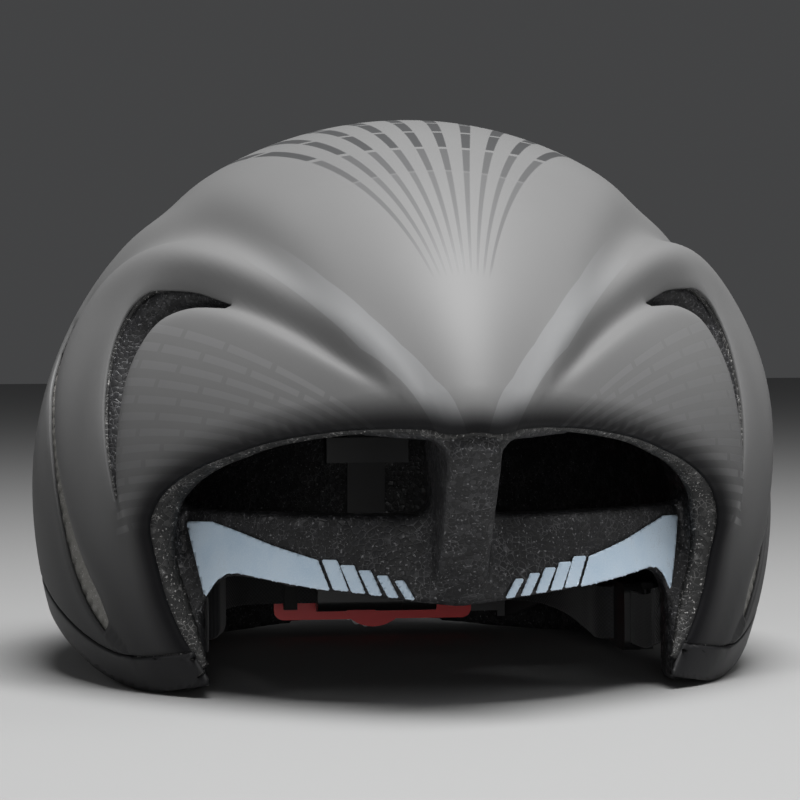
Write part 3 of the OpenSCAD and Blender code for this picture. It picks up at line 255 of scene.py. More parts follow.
def near_course(a, y, course):
    """Distance in mm on the flattened skin to a course, up to FAR, its strength there, and the spot's side."""
    spots = np.stack([np.abs(a) * SHEET, y], -1)
    pts = np.stack([course[:, 0] * SHEET, course[:, 1]], -1)
    close = ((spots > pts.min(0) - FAR) & (spots < pts.max(0) + FAR)).all(1)
    q, n = spots[close], close.sum()
    best, power, side = np.full(n, FAR ** 2), np.zeros(n), np.zeros(n)
    for i in range(len(pts) - 1):
        d = pts[i + 1] - pts[i]
        t = np.clip(((q - pts[i]) @ d) / (d @ d), 0, 1)
        w = q - (pts[i] + t[:, None] * d)
        dist = (w ** 2).sum(1)
        new = dist < best
        best = np.where(new, dist, best)
        power = np.where(new, course[i, 2] + (course[i + 1, 2] - course[i, 2]) * t, power)
        side = np.where(new, d[0] * w[:, 1] - d[1] * w[:, 0], side)
    out = np.full(len(a), FAR), np.zeros(len(a)), np.zeros(len(a))
    for whole, part in zip(out, (np.sqrt(best), power, side)):
        whole[close] = part
    return out

def relief(a, y):
    """Height in mm over the plain form: a bell exp(-(d / width)^2) for the crest, minus bells for groove, hood
    and scoop, minus a quarter-round lip, and minus a step before the side slit, which shows the foam there."""
    def bell(course):
        d, s, _ = near_course(a, y, course)
        return s * np.exp(-(d / BELL_WIDE) ** 2)
    d, s, side = near_course(a, y, SCOOP)
    scoop = s * np.exp(-(d / np.where(side > 0, SCOOP_REAR, SCOOP_FRONT)) ** 2)
    d, s, side = near_course(a, y, SLIT)
    across = np.sign(side) * d
    rise = np.clip((SLIT_HALF - across) / (2 * SLIT_HALF), 0, 1)
    step = s * SLIT_STEP_UP * rise * np.exp(-(np.minimum(0, across + SLIT_HALF) / SLIT_RUN) ** 2)
    turn = np.clip(1 - near_course(a, y, RIM)[0] / np.interp(np.abs(a), *LIP_REACH), 0, 1)
    lip = LIP_DEPTH * (1 - np.sqrt(np.maximum(0, 1 - turn ** 2)))
    return (CREST_HIGH * bell(CREST) - GROOVE_DEEP * bell(GROOVE) - HOOD_DEEP * bell(HOOD)
            - SCOOP_DEEP * scoop - step - lip)

def skin_point(a, y, inward=0.0):
    """Place in mm of a spot on the skin: its radius turned by its angle, over the side line."""
    r = np.maximum(plain_radius(a, y) + relief(a, y) - inward, AXIS_ROOM)
    ar = np.radians(a)
    return np.stack([r * np.sin(ar), y, SIDE_LINE + r * np.cos(ar)], -1)

# %% [markdown]
# ## Cutting the openings
# Each opening is a number that is positive on the skin and negative in the gap, such as the distance to the
# mouth's rim. A triangle that lies across zero is cut there, so the edge is as smooth as the number itself,
# which a boolean between coarse solids can't give. First the spots that lie nearly on an edge are drawn onto it.

# %% Openings as fields
WRAP, SEAM = 9.0, 0.3
OPEN = 50.0  # a field's value where its opening can't be
OUTLET_APART, OUTLET_HALF, OUTLETS_FROM = 36.0, 8.2, 64.7
EARS_HALF, BROW_LOW, BROW_CURVE = 61.0, 25.0, 0.12
RIM_LOW = curve([[-170, 14], [-96, 11], [-86, 8], [-77, 3.4], [-67, 0.8], [-58, 0], [-48, 0.6], [-36, 3],
                 [-20, 8], [0, 14], [18, 16.5], [38, 13], [58, 5], [76, 0.6], [98, 0], [116, 4], [134, 14],
                 [170, 26]], 120)
VENT_OUT = curve([[46.8, -75.5], [48, -68], [49, -62], [51.2, -54], [53.6, -47.5], [57, -43.6], [61, -42.6],
                  [66, -43.6], [72.5, -46.6], [79, -50.2], [85, -53.4], [91, -57]], 40)
VENT_IN = curve([[47.6, -76], [49.4, -72.4], [51.6, -66], [54.2, -59.4], [56.8, -55], [60, -53.2], [64, -53.3],
                 [69, -54.4], [75, -55.6], [81, -56.8], [87, -57.6], [91, -58]], 40)

def outside_of(points, loop):
    """Signed distance to a closed loop: positive outside it, negative inside."""
    best, inside = np.full(len(points), 1e9), np.zeros(len(points), dtype=bool)
    for p, q in zip(loop, np.roll(loop, -1, axis=0)):
        d = q - p
        t = np.clip(((points - p) @ d) / max(d @ d, 1e-9), 0, 1)
        best = np.minimum(best, ((points - (p + t[:, None] * d)) ** 2).sum(1))
        cross = (p[1] > points[:, 1]) != (q[1] > points[:, 1])
        with np.errstate(divide="ignore", invalid="ignore"):
            at_x = (q[0] - p[0]) * (points[:, 1] - p[1]) / (q[1] - p[1]) + p[0]
        inside ^= cross & (points[:, 0] < at_x)
    return np.where(inside, -1, 1) * np.sqrt(best)

def low_edge(y):
    """Height of the helmet's lower edge at a distance along it, never below the floor."""
    return np.maximum(0, np.interp(y, RIM_LOW[:, 0], RIM_LOW[:, 1]))

def mouth_field(a, y):
    """Distance along the helmet behind the mouth's rim."""
    return y - np.interp(np.abs(a), RIM[:, 0], RIM[:, 1])

VENT_LOOP = np.concatenate([VENT_OUT, VENT_IN[::-1]]) * (SHEET, 1)
SLIT_STEP = (SLIT[:, 2] * SLIT_HALF)[:, None]
SLIT_LOOP = np.concatenate([SLIT[:, :2] * (SHEET, 1) - SLIT_STEP, (SLIT[:, :2] * (SHEET, 1) + SLIT_STEP)[::-1]])

def vent_field(a, y):
    """Distance from the side vent's outline on the flattened skin."""
    return outside_of(np.stack([np.abs(a) * SHEET, y], -1), VENT_LOOP)

def slit_field(a, y):
    """Distance from the side slit's outline on the flattened skin."""
    return outside_of(np.stack([np.abs(a) * SHEET, y], -1), SLIT_LOOP)

def outlet_field(a, y):
    """Distance, seen from behind, to three upright rounded slots."""
    p = skin_point(a, y)
    field = np.full(len(a), OPEN)
    for k in (-1, 0, 1):
        mid = np.clip(p[:, 2], 74 + 4 * abs(k), 96 - 5 * abs(k))
        field = np.minimum(field, np.hypot(p[:, 0] - OUTLET_APART * k, p[:, 2] - mid) - OUTLET_HALF)
    return np.where(y < OUTLETS_FROM, OPEN, field)

def brow_gap_field(a, y):
    """Outside the gap under the brow bar, which is open between the ears."""
    p = skin_point(a, y)
    gap = np.maximum(np.abs(p[:, 0]) - EARS_HALF, p[:, 2] - (BROW_LOW + BROW_CURVE * np.abs(p[:, 0])))
    return np.where(y > 0, OPEN, gap)

# %% Clipping a sheet of triangles
NUDGE, SNAP, ROUNDS = 0.02, 0.3, 4

def draw_on(spots, tris, field):
    """Moves the spots that lie nearly on an edge onto it, along the field's slope. They are those whose field is
    under a share of its usual change from spot to spot. Gives the spots and the field there."""
    f = field(spots[:, 0], spots[:, 1])
    grad = np.stack([(field(spots[:, 0] + NUDGE, spots[:, 1]) - f) / NUDGE / SHEET,
                     (field(spots[:, 0], spots[:, 1] + NUDGE) - f) / NUDGE], -1)
    size = np.maximum((grad ** 2).sum(1), 1e-9)
    change, met = np.zeros(len(f)), np.zeros(len(f))
    for k in range(3):
        i, j = tris[:, k], tris[:, (k + 1) % 3]
        np.add.at(change, i, np.abs(f[i] - f[j]))
        np.add.at(met, i, 1)
    near = np.abs(f) < SNAP * change / np.maximum(met, 1)
    move = -f[:, None] * grad / size[:, None] / (SHEET, 1)
    return np.where(near[:, None], spots + move, spots), np.where(near, 0.0, f)

def crossings(spots, f, pairs, field):
    """The spot between the two of each pair where the field is zero, found by false position."""
    (p, q), (fp, fq) = spots[pairs.T], f[pairs.T]
    for _ in range(ROUNDS):
        t = np.clip(fp / np.where(np.abs(fp - fq) < 1e-12, 1e-12, fp - fq), 0, 1)[:, None]
        m = p + (q - p) * t
        fm = field(m[:, 0], m[:, 1])
        same = (fm >= 0) == (fp >= 0)
        p, fp = np.where(same[:, None], m, p), np.where(same, fm, fp)
        q, fq = np.where(same[:, None], q, m), np.where(same, fq, fm)
    return m

def clip_sheet(spots, tris, field):
    """Keeps the part of a sheet where the field is positive; spots are (angle, y), and edges are cut at zero.
    A cut triangle has one corner a on its own side: it keeps a and two new spots, or b, c and two new spots."""
    spots, f = draw_on(spots, tris, field)
    pos = f[tris] >= 0
    count = np.where((f[tris] <= 0).all(1), 0, pos.sum(1))
    kept, parts = [tris[count == 3]], []
    for need in (1, 2):
        cut, lone = tris[count == need], pos[count == need] == (need == 1)
        if len(cut):
            first = lone.argmax(1)
            parts.append((need, *(cut[np.arange(len(cut)), (first + k) % 3] for k in range(3))))
    if parts:
        pairs = np.concatenate([np.stack([a, o], -1) for _, a, b, c in parts for o in (b, c)])
        unique, index = np.unique(np.sort(pairs, axis=1), axis=0, return_inverse=True)
        index, at = index.ravel() + len(spots), 0
        spots = np.concatenate([spots, crossings(spots, f, unique, field)])
        for need, a, b, c in parts:
            ab, ac = index[at:at + len(a)], index[at + len(a):at + 2 * len(a)]
            at += 2 * len(a)
            kept += [np.stack(k, -1) for k in ([(a, ab, ac)] if need == 1 else [(ab, b, c), (ab, c, ac)])]
    tris = np.concatenate(kept)
    used = np.unique(tris)
    remap = np.zeros(len(spots), int)
    remap[used] = np.arange(len(used))
    return spots[used], sound(remap[tris])

def split_sheet(spots, tris, field):
    """Cuts the triangles that lie across zero and keeps both sides, which share the spots on the line."""
    one, one_tris = clip_sheet(spots, tris, field)
    two, two_tris = clip_sheet(spots, tris, lambda a, y: -field(a, y))
    spots = np.concatenate([one, two])
    _, first, index = np.unique(np.round(spots, 5), axis=0, return_index=True, return_inverse=True)
    return spots[first], index.ravel()[np.concatenate([one_tris, two_tris + len(one)])]

# %% The sheet of spots
FINE_TO, WIDER = 12, 1.3

def row_stations(step):
    """Distances along the helmet, evenly spaced over the skin at 45 degrees: a step apart in front, growing by
    WIDER over 30 mm from y = FINE_TO on. The last one lies at the tail's tip."""
    y = np.concatenate([np.linspace(-149.4, -140, 40), np.linspace(-140, 140, 2000)[1:],
                        TAIL - 0.0001 - 4.5 * np.linspace(1, 0, 60) ** 2])
    p = skin_point(np.full(len(y), 45.0), y)
    s = np.concatenate([[0], np.cumsum(np.linalg.norm(np.diff(p, axis=0), axis=1))])
    stops, at = [0.0], 0.0
    while at < s[-1] - 1.2:
        here = np.interp(at, s, y)
        at += step if here < FINE_TO else step + WIDER * min(1.0, (here - FINE_TO) / 30)
        stops.append(at)
    stops[-1] = s[-1]
    return np.interp(stops, s, y)

def skin_sheet(step, n):
    """Whole grid of (angle, y) spots in n columns, rows a step in mm apart, with its triangles."""
    ys = row_stations(step)
    angles = np.linspace(-180, 180, n + 1)
    spots = np.stack(np.meshgrid(angles, ys), -1).reshape(-1, 2)
    i, j = grid_cells(len(ys) - 1, n)
    p = i * (n + 1) + j
    q, r, s = p + 1, p + n + 1, p + n + 2
    right = (j >= n // 2)[:, None]
    one = np.where(right, np.stack([p, q, s], -1), np.stack([p, q, r], -1))
    two = np.where(right, np.stack([p, s, r], -1), np.stack([q, s, r], -1))
    return spots, np.concatenate([one, two])

# %% [markdown]
# ## Painted shell and satin wrap
# The shell is one sheet of the skin with the mouth, vents, slits and outlets cut out, and a Solidify modifier
# gives it the thickness of the moulded polycarbonate. The narrow wrap round the lower edge is a second sheet
# below a fine seam. Each spot keeps its own angle and distance as an attribute, so that the print on the real
# shell, which follows the skin, can be worked out from them in the material.

# %% Shell and wrap
SHELL_WALL, ROLL_WIDE, ROLL_DEEP = 1.3, 1.4, 0.45
SLIVER = 0.00012  # edges shorter than this, in metres, are closed

BAND_IN = np.array([[-143, 4.6], [-141, 9.5], [-135, 16.5], [-126, 22], [-116.4, 25.6], [-100.5, 29.4],
                    [-70.5, 33.8], [-40, 36.5]])
BAND_OUT = np.array([[-138, 26], [-132, 28], [-120, 32.9], [-107, 34.7], [-79, 38.4], [-40, 41.5]])

def band_width(a, y):
    """Degrees from a spot to the nearer edge of the satin band beside the nose: positive inside the band."""
    return np.minimum(a - np.interp(y, BAND_IN[:, 0], BAND_IN[:, 1]),
                      np.interp(y, BAND_OUT[:, 0], BAND_OUT[:, 1]) - a)

def roll_in(near):
    """Inward shift in mm near an edge: it grows with the square of the nearness over the last ROLL_WIDE mm."""
    return ROLL_DEEP * np.clip(1 - near / ROLL_WIDE, 0, 1) ** 2

def close_sheet(spots, tris, points):
    """Joins the two columns at -180 and 180 degrees, which are the same line on the skin."""
    _, first, index = np.unique(np.round(points, 4), axis=0, return_index=True, return_inverse=True)
    return spots[first], sound(index.ravel()[tris]), points[first]

def note_places(obj, a, y, points):
    """Attributes for the materials: sheet is (|angle|, y, angle), band the degrees inside the satin band,
    lip the mm from the mouth's rim, and pale is 1 at the side slit, where the foam gets painted light."""
    rim = skin_point(np.concatenate([-RIM[::-1, 0], RIM[:, 0]]), np.concatenate([RIM[::-1, 1], RIM[:, 1]]))
    add_attribute(obj, "sheet", np.stack([np.abs(a), y, a], -1))
    add_attribute(obj, "band", band_width(np.abs(a), y))
    add_attribute(obj, "lip", np.min([np.linalg.norm(points - spot, axis=1) for spot in rim], axis=0))
    add_attribute(obj, "pale", np.clip(2.2 - near_course(a, y, SLIT)[0] / 2.0, 0, 1))

def skin_piece(name, fields, wall, inward=0.0, step=1.75, columns=330):
    """Piece of the skin where all the fields are positive, with a wall on its inner side. Each field comes with
    the distances from its edge at which the sheet gets an extra line of spots, and whether the edge rolls in."""
    spots, tris = skin_sheet(step, columns)
    for field, rings, _ in fields:
        for ring in rings:
            spots, tris = split_sheet(spots, tris, lambda a, y: field(a, y) - ring)
        spots, tris = clip_sheet(spots, tris, field)
    spots, tris, points = close_sheet(spots, tris, skin_point(spots[:, 0], spots[:, 1]))
    a, y = spots[:, 0], spots[:, 1]
    near = np.min([field(a, y) for field, _, rolls in fields if rolls] + [np.full(len(a), 9.0)], axis=0)
    points = skin_point(a, y, inward + roll_in(near))
    points[:, 2] = np.maximum(points[:, 2], 0.0)
    flip = turned_in(points, tris, (0, 0, SIDE_LINE), (1, 0.3, 1))
    obj = new_object(name, points / 1000, tris[:, ::-1] if flip else tris)
    note_places(obj, a, y, points)
    with_bmesh(obj, lambda mesh: bmesh.ops.dissolve_degenerate(mesh, dist=SLIVER, edges=mesh.edges))
    solid = obj.modifiers.new("wall", "SOLIDIFY")
    solid.thickness, solid.offset, solid.use_even_offset = wall / 1000, -1.0, False
    print(name, "spots", len(points), "triangles", len(tris))
    return obj

def above_seam(a, y):
    """Height over the seam between shell and wrap."""
    return skin_point(a, y)[:, 2] - low_edge(y) - WRAP - SEAM / 2

def below_seam(a, y):
    """Depth under that seam."""
    return low_edge(y) + WRAP - SEAM / 2 - skin_point(a, y)[:, 2]

def above_edge(a, y):
    """Height over the helmet's lower edge."""
    return skin_point(a, y)[:, 2] - low_edge(y)

COARSE, EDGE, LIP = (1.4, 0.7), (1.4, 0.7, 0.25), (7.5, 5.0, 3.2, 1.8, 0.8, 0.25)
shell = skin_piece("painted_shell", [
    (mouth_field, LIP, False), (above_seam, COARSE, True), (vent_field, EDGE, True), (slit_field, EDGE, True),
    (outlet_field, COARSE, True), (brow_gap_field, (), False)], SHELL_WALL)
wrap = skin_piece("satin_wrap", [
    (above_edge, (), False), (below_seam, COARSE, True), (mouth_field, LIP, False),
    (brow_gap_field, (), False)], SHELL_WALL)
for piece, node in ((shell, "outer_shell"), (wrap, "lower_wrap")):
    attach(piece, "helmet")
    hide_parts(node)

# %% [markdown]
# ## Foam right under the shell
# The shell is bonded to the foam, so the foam shows in every gap: as a strip in the side slits and as the wall
# of the vents. A coarser sheet of the same skin, set in by the shell's wall, carries that outer layer of foam.

# %% Foam face
def set_back(field, amount):
    """The same field, with its edge moved back by an amount."""
    return lambda a, y: field(a, y) - amount

FACE_END = 132.0
foam_face = skin_piece("foam_face", [
    (field, (), False) for field in (
        set_back(mouth_field, 1.0), set_back(vent_field, 0.3), set_back(outlet_field, 0.3),
        set_back(brow_gap_field, 0.5), set_back(above_edge, 1.5), lambda a, y: FACE_END - y)],
    wall=2.4, inward=1.45, step=2.5, columns=220)
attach(foam_face, "helmet")

# %% [markdown]
# ## Foam liner
# The liner is moulded from small beads, so its edges are a little soft and its face shows the beads. A copy
# of the CAD liner is merged, cut into even small cells with a voxel remesh, and relaxed a little: that rounds
# every edge as the mould does and gives the bead pattern an even mesh to lie on.

# %% Foam liner
def merged_copy(node, name):
    """A copy of a CAD node's mesh with its loose triangles joined."""
    source = NODES[node].data
    ids = np.empty(len(source.loops), dtype=np.int32)
    source.loops.foreach_get("vertex_index", ids)
    unique, index = np.unique(np.round(get_points(source), 6), axis=0, return_inverse=True)
    return new_object(name, unique, sound(index.ravel()[ids].reshape(-1, 3)))

def remesh(obj, cell):
    """Even cells over the whole closed form."""
    mod = obj.modifiers.new("cells", "REMESH")
    mod.mode, mod.voxel_size, mod.use_smooth_shade = "VOXEL", cell, True
    return apply_modifiers(obj)

def relax(obj, rounds, factor=0.5):
    """Each spot goes a share of the way to its neighbours' middle, a few times."""
    mod = obj.modifiers.new("relax", "SMOOTH")
    mod.iterations, mod.factor = rounds, factor
    return apply_modifiers(obj)

def skin_tube(name, a, y, depth):
    """Closed tube of sections: arrays with a row for each section give every spot's angle, y and depth in mm."""
    r = np.maximum(1.0, plain_radius(a.ravel(), y.ravel()).reshape(a.shape) - depth)
    ar = np.radians(a)
    points = np.stack([r * np.sin(ar), y, SIDE_LINE + r * np.cos(ar)], -1)
    obj = new_object(name, points.reshape(-1, 3) / 1000, tube_faces(*a.shape))
    with_bmesh(obj, lambda mesh: bmesh.ops.recalc_face_normals(mesh, faces=mesh.faces))
    return obj

def carve(obj, cutters):
    """Takes each cutter out of the object, then drops the cutter."""
    for cutter in cutters:
        mod = obj.modifiers.new("carve", "BOOLEAN")
        mod.operation, mod.solver, mod.object = "DIFFERENCE", "EXACT", cutter
        apply_modifiers(obj)
        bpy.data.objects.remove(cutter)
    return obj

def tuck(obj, under):
    """Moves each spot towards the side line until it lies at least so many mm under the skin."""
    p = get_points(obj.data) * 1000
    a, r = np.degrees(np.arctan2(p[:, 0], p[:, 2] - SIDE_LINE)), np.hypot(p[:, 0], p[:, 2] - SIDE_LINE)
    y = np.clip(p[:, 1], -149.0, TAIL - 0.1)
    most = np.maximum(plain_radius(a, y) + relief(a, y) - under, 0.5)
    share = np.minimum(1, most / np.maximum(r, 1e-6))
    p = np.stack([p[:, 0] * share, p[:, 1], SIDE_LINE + (p[:, 2] - SIDE_LINE) * share], -1)
    set_points(obj.data, p / 1000)
    print(obj.name, "tucked", int((share < 1).sum()), "of", len(r))
    return obj

def rim_band(a):
    """Width in mm of the foam that shows between the lip and the mouth: thin on top, wide down the cheeks."""
    return np.interp(np.abs(a), [50, 70, 80, 88, 95, 110, 117, 124, 130], [3, 4, 5.5, 8, 9, 9, 7.4, 4, 3])

def vent_cutter(side):
    """The way in behind a vent: four spots for each section, two over the skin and two as deep as the way."""
    over, deep = -3.0, 13.0
    a = side * np.stack([VENT_OUT[:, 0], VENT_IN[:, 0], VENT_IN[:, 0], VENT_OUT[:, 0]], -1)
    y = np.stack([VENT_OUT[:, 1], VENT_IN[:, 1] - 0.8, VENT_IN[:, 1] - 2.5, VENT_OUT[:, 1] - 1.5], -1)
    return skin_tube("cutter", a, y, np.broadcast_to([over, over, deep, deep], a.shape))

def mouth_cutter(front=-147.0, over=-6.0, n=14):
    """All that stands before the mouth's rim, where the rounded foam edge takes its place."""
    a = np.linspace(-134, 134, 121)
    rim = np.interp(np.abs(a), RIM[:, 0], RIM[:, 1]) + 1.5
    low = np.where(np.abs(a) > 92, 16.5, 7.5 + rim_band(a))
    out = front + (rim[:, None] - front) * np.linspace(0, 1, n)
    depth = np.concatenate([np.full((len(a), n), over), np.repeat(low[:, None], n, axis=1)], axis=1)
    y = np.concatenate([out, out[:, ::-1]], axis=1)
    return skin_tube("cutter", np.repeat(a[:, None], 2 * n, axis=1), y, depth)

LINER_CELL, UNDER_SKIN = 0.0019, 1.7
liner = carve(merged_copy("eps_liner", "foam_liner"), [vent_cutter(-1), vent_cutter(1), mouth_cutter()])
liner = tuck(relax(remesh(liner, LINER_CELL), 3, 0.4), UNDER_SKIN)
liner.name = "foam_liner"
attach(liner, "helmet")
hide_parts("eps_liner")
print("liner faces", len(liner.data.polygons))

# %% Foam edge round the mouth
def foam_edge():
    """Rounded section carried along the mouth's rim, from under the lip to the inside of the mouth."""
    a = np.linspace(-124.5, 124.5, 237)
    rim, wide = np.interp(np.abs(a), RIM[:, 0], RIM[:, 1]), rim_band(a)
    back = np.array([3.0, 1.5, 0.8, 0.45, 0.6, 1.2, 2.6, 7.0, 16.0, 16.0, 8.0])
    share = np.array([-0.3, 0.0, 0.08, 0.35, 0.7, 0.9, 1.0, 1.05, 1.1, -0.4, -0.35])
    obj = skin_tube("foam_mouth_edge", np.repeat(a[:, None], len(back), axis=1), rim[:, None] + back,
                    LIP_DEPTH + wide[:, None] * share)
    tuck(obj, UNDER_SKIN)
    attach(obj, "helmet")
    return obj

mouth_edge = foam_edge()

# %% [markdown]
# ## Pads that follow the head room
# The pads are thin foam in knitted cloth, with a welded edge and a crown that stands highest in the middle.
# Each starts as a low closed cushion on the wall of the head room. It is cut into even cells, and a short
# cloth simulation with a little pressure swells it between its edges. The back keeps its place on the dots.

# %% Pads as cushions on the wall
ROOM, ROOM_MID, ROOM_MEAN = np.array([80.0, 103.0, 92.0]), np.array([0.0, 8.0, 38.0]), 88
PAD_BACK, PAD_THICK, PAD_CELL = 1.55, 5.5, 0.0014

def room_spot(az, el, inward):
    """Place on the head room's wall, a half ellipsoid over a straight wall, set in by a distance."""
    a, e = np.radians(az), np.radians(el)
    g = [ROOM[k] - inward for k in range(3)]
    c = np.where(el < 0, 1.0, np.cos(e))
    z = np.where(el < 0, e, np.sin(e))
    return np.stack([g[0] * c * np.sin(a), ROOM_MID[1] - g[1] * c * np.cos(a), ROOM_MID[2] + g[2] * z], -1)

def pad_cushion(name, az, el, az_half, el_half, back=PAD_BACK, channels=()):
    """Closed cushion: corners drawn in by u^6, height sqrt((1 - u^4)(1 - v^4)), less at the sewn channels."""
    nu, nv = max(12, int(az_half * 2)), max(10, int(el_half * 2.2))
    u, v = np.meshgrid(np.linspace(-1, 1, nu), np.linspace(-1, 1, nv), indexing="ij")
    draw_u, draw_v = np.sqrt(1 - 0.8 * np.abs(v) ** 6), np.sqrt(1 - 0.8 * np.abs(u) ** 6)
    sewn = sum((np.exp(-((u - c) / 0.035) ** 2) for c in channels), np.zeros_like(u))
    rise = (PAD_THICK - 1) * np.sqrt((1 - u ** 4) * (1 - v ** 4)) * (1 - 0.6 * np.clip(sewn, 0, 1))
    low = room_spot(az + az_half * u * draw_u, el + el_half * v * draw_v, back)
    high_az, high_el = az + az_half * u * draw_u * 0.97, el + el_half * v * draw_v * 0.96
    high = room_spot(high_az, high_el, back + 1)
    grow = room_spot(high_az, high_el, back + 21) - high
    high = high + grow / np.linalg.norm(grow, axis=-1, keepdims=True) * rise[..., None]
    n = nu * nv
    i, j = grid_cells(nu - 1, nv - 1)
    p = i * nv + j
    top = np.stack([p, p + nv, p + nv + 1, p + 1], -1)
    ring = np.concatenate([np.arange(nu - 1) * nv, (nu - 1) * nv + np.arange(nv - 1),
                           np.arange(nu - 1, 0, -1) * nv + nv - 1, np.arange(nv - 1, 0, -1)])
    nxt = np.roll(ring, -1)
    sides = np.stack([ring, nxt, nxt + n, ring + n], -1)
    points = np.concatenate([low.reshape(-1, 3), high.reshape(-1, 3)]) / 1000
    faces = np.concatenate([top[:, ::-1], top + n, sides])
    obj = new_object(name, points, faces)
    if turned_in(points, faces, points.mean(0)):
        obj.data.flip_normals()
    return obj

STEPS, PRESSURE = 20, 4.0

def swell(obj, cap, still):
    """Cloth with a little pressure for 20 steps; a spot moves by at most the cap, and not where still is 1."""
    before = get_points(obj.data)
    cloth = obj.modifiers.new("cloth", "CLOTH")
    cloth.settings.use_pressure, cloth.settings.uniform_pressure_force = True, PRESSURE
    cloth.settings.effector_weights.gravity = 0.0
    cloth.settings.quality = 4
    cloth.point_cache.frame_start, cloth.point_cache.frame_end = 1, STEPS
    for step in range(1, STEPS + 1):
        bpy.context.scene.frame_set(step)
    apply_modifiers(obj)
    bpy.context.scene.frame_set(1)
    move = get_points(obj.data) - before
    length = np.linalg.norm(move, axis=1, keepdims=True)
    move = move * np.minimum(1, cap / np.maximum(length, 1e-9)) * (1 - still(before))[:, None]
    set_points(obj.data, before + move)
    return obj

def subdivide(obj):
    """One smooth subdivision."""
    mod = obj.modifiers.new("fine", "SUBSURF")
    mod.levels = mod.render_levels = 1

def wall_depth(points):
    """Depth in mm of each point inside the head room's wall."""
    q = points * 1000 - ROOM_MID
    q = np.where((q[:, 2] < 0)[:, None], q * (1, 1, 0), q) / ROOM
    return (1 - np.linalg.norm(q, axis=1)) * ROOM_MEAN

def room_pad(name, node, az, el, az_half, el_half, back=PAD_BACK, channels=()):
    """Finished pad: cushion, even cells, swelling, one subdivision. What is under 1 mm over the back stays."""
    obj = remesh(pad_cushion(name, az, el, az_half, el_half, back, channels), PAD_CELL)
    obj.name = name
    swell(obj, 0.0009, lambda p: np.clip((back + 2.2 - wall_depth(p)) / 1.2, 0, 1))
    relax(obj, 2)
    subdivide(obj)
    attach(obj, "helmet")
    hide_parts(node)
    return obj

pads = [room_pad("brow_cushion", "brow_pad", 0, -1.5, 39, 5.2, channels=(-0.36, 0.36))]
for side, word in ((-1, "left"), (1, "right")):
    pads += [room_pad(f"crown_cushion_{word}", f"crown_pad_{word}", side * 30, 58, 15.4, 14.4, channels=(0.0,)),
             room_pad(f"side_cushion_{word}", f"side_pad_{word}", side * 92, 22, 15.4, 7.6, back=PAD_BACK + 0.3),
             room_pad(f"rear_cushion_{word}", f"rear_pad_{word}", side * 161, 38, 12.4, 8.6)]
print("pads", [(p.name, len(p.data.polygons)) for p in pads])

# %% [markdown]
# ## Webbing and side arms
# Webbing is a flat woven band with thickened selvedges. It is a small rounded section carried along the same
# course as the CAD strap, standing on its edge, and each spot keeps how far along and across the band it
# lies, so the weave runs with the strap. The side arms are moulded the same way, in plastic with a long groove.

# %% Bands along a course
def band_frames(course):
    """Directions along the course, its flat side and up: the side stays level, as the CAD ribbon's does."""
    d = np.gradient(course, axis=0)
    flat = np.stack([d[:, 1], -d[:, 0], np.zeros(len(d))], -1)
    flat = flat / np.linalg.norm(flat, axis=1, keepdims=True)
    return flat, np.broadcast_to([0.0, 0.0, 1.0], flat.shape)

def band(name, course, section):
    """Tube whose section, in (flat side, up), is carried along the course; both ends are closed."""
    flat, up = band_frames(course)
    n, m = len(course), len(section)
    points = course[:, None] + flat[:, None] * section[None, :, :1] + up[:, None] * section[None, :, 1:]
    obj = new_object(name, points.reshape(-1, 3) / 1000, tube_faces(n, m))
    along = np.concatenate([[0], np.cumsum(np.linalg.norm(np.diff(course, axis=0), axis=1))])
    add_attribute(obj, "weave", np.stack([np.repeat(along, m), np.tile(section[:, 1], n),
                                          np.tile(section[:, 0], n)], -1))
    corner, ahead, beside = points[0, 0], points[1, 0], points[0, 1]
    if np.cross(ahead - corner, beside - corner) @ (corner - points[0].mean(0)) > 0:
        obj.data.flip_normals()
    return obj

def web_section(thick, wide):
    """Rounded flat section: a superellipse with a thicker selvedge at both edges."""
    t = np.linspace(0, 2 * np.pi, 44, endpoint=False)
    c, s = np.cos(t), np.sin(t)
    x = np.sign(c) * np.abs(c) ** 0.35 * thick / 2
    z = np.sign(s) * np.abs(s) ** 0.8 * wide / 2
    selvedge = 1 + 0.10 * np.exp(-((np.abs(z) - wide / 2 + 1.1) / 0.8) ** 2)
    return np.stack([x * 0.86 * selvedge, z], -1)

def wall_x(y):
    """Half width of the head room at its straight wall."""
    return ROOM[0] * np.sqrt(1 - ((y - ROOM_MID[1]) / ROOM[1]) ** 2)

def web_spot(y, z):
    """Spot of the webbing's course 3.3 mm inside that wall."""
    return [wall_x(y) - 3.3, y, z]

WEB_Z, BUCKLE_Z = 12.4, 19.5
CHIN = [[62.8, 9, WEB_Z], [60, 9, WEB_Z], [57.2, 13, WEB_Z], [56, 22, WEB_Z + 1.5], [52.5, 42, WEB_Z + 5],
        [45, 56, BUCKLE_Z], [34, 61.4, BUCKLE_Z]]
COURSES = {
    "front_webbing": [web_spot(-55, 17), web_spot(-50, 17), [65.8, -34, 15], [65.2, -20, WEB_Z], [64, -9, WEB_Z],
                      [64, 2.5, WEB_Z]],
    "rear_webbing": [web_spot(65, 15), web_spot(60, 15), [66.6, 44, 13], [65.2, 28, WEB_Z], [64, 17, WEB_Z],
                     [64, 5.5, WEB_Z]],
    "chin_strap_right": CHIN + [[20, 62, BUCKLE_Z], [12.8, 62, BUCKLE_Z]],
    "chin_strap_left": CHIN + [[24, 62, BUCKLE_Z], [17.4, 62, BUCKLE_Z]]}

def mirrored(course, side):
    """The course as drawn for side 1, mirrored for side -1."""
    return np.asarray(course, dtype=float) * (side, 1, 1)

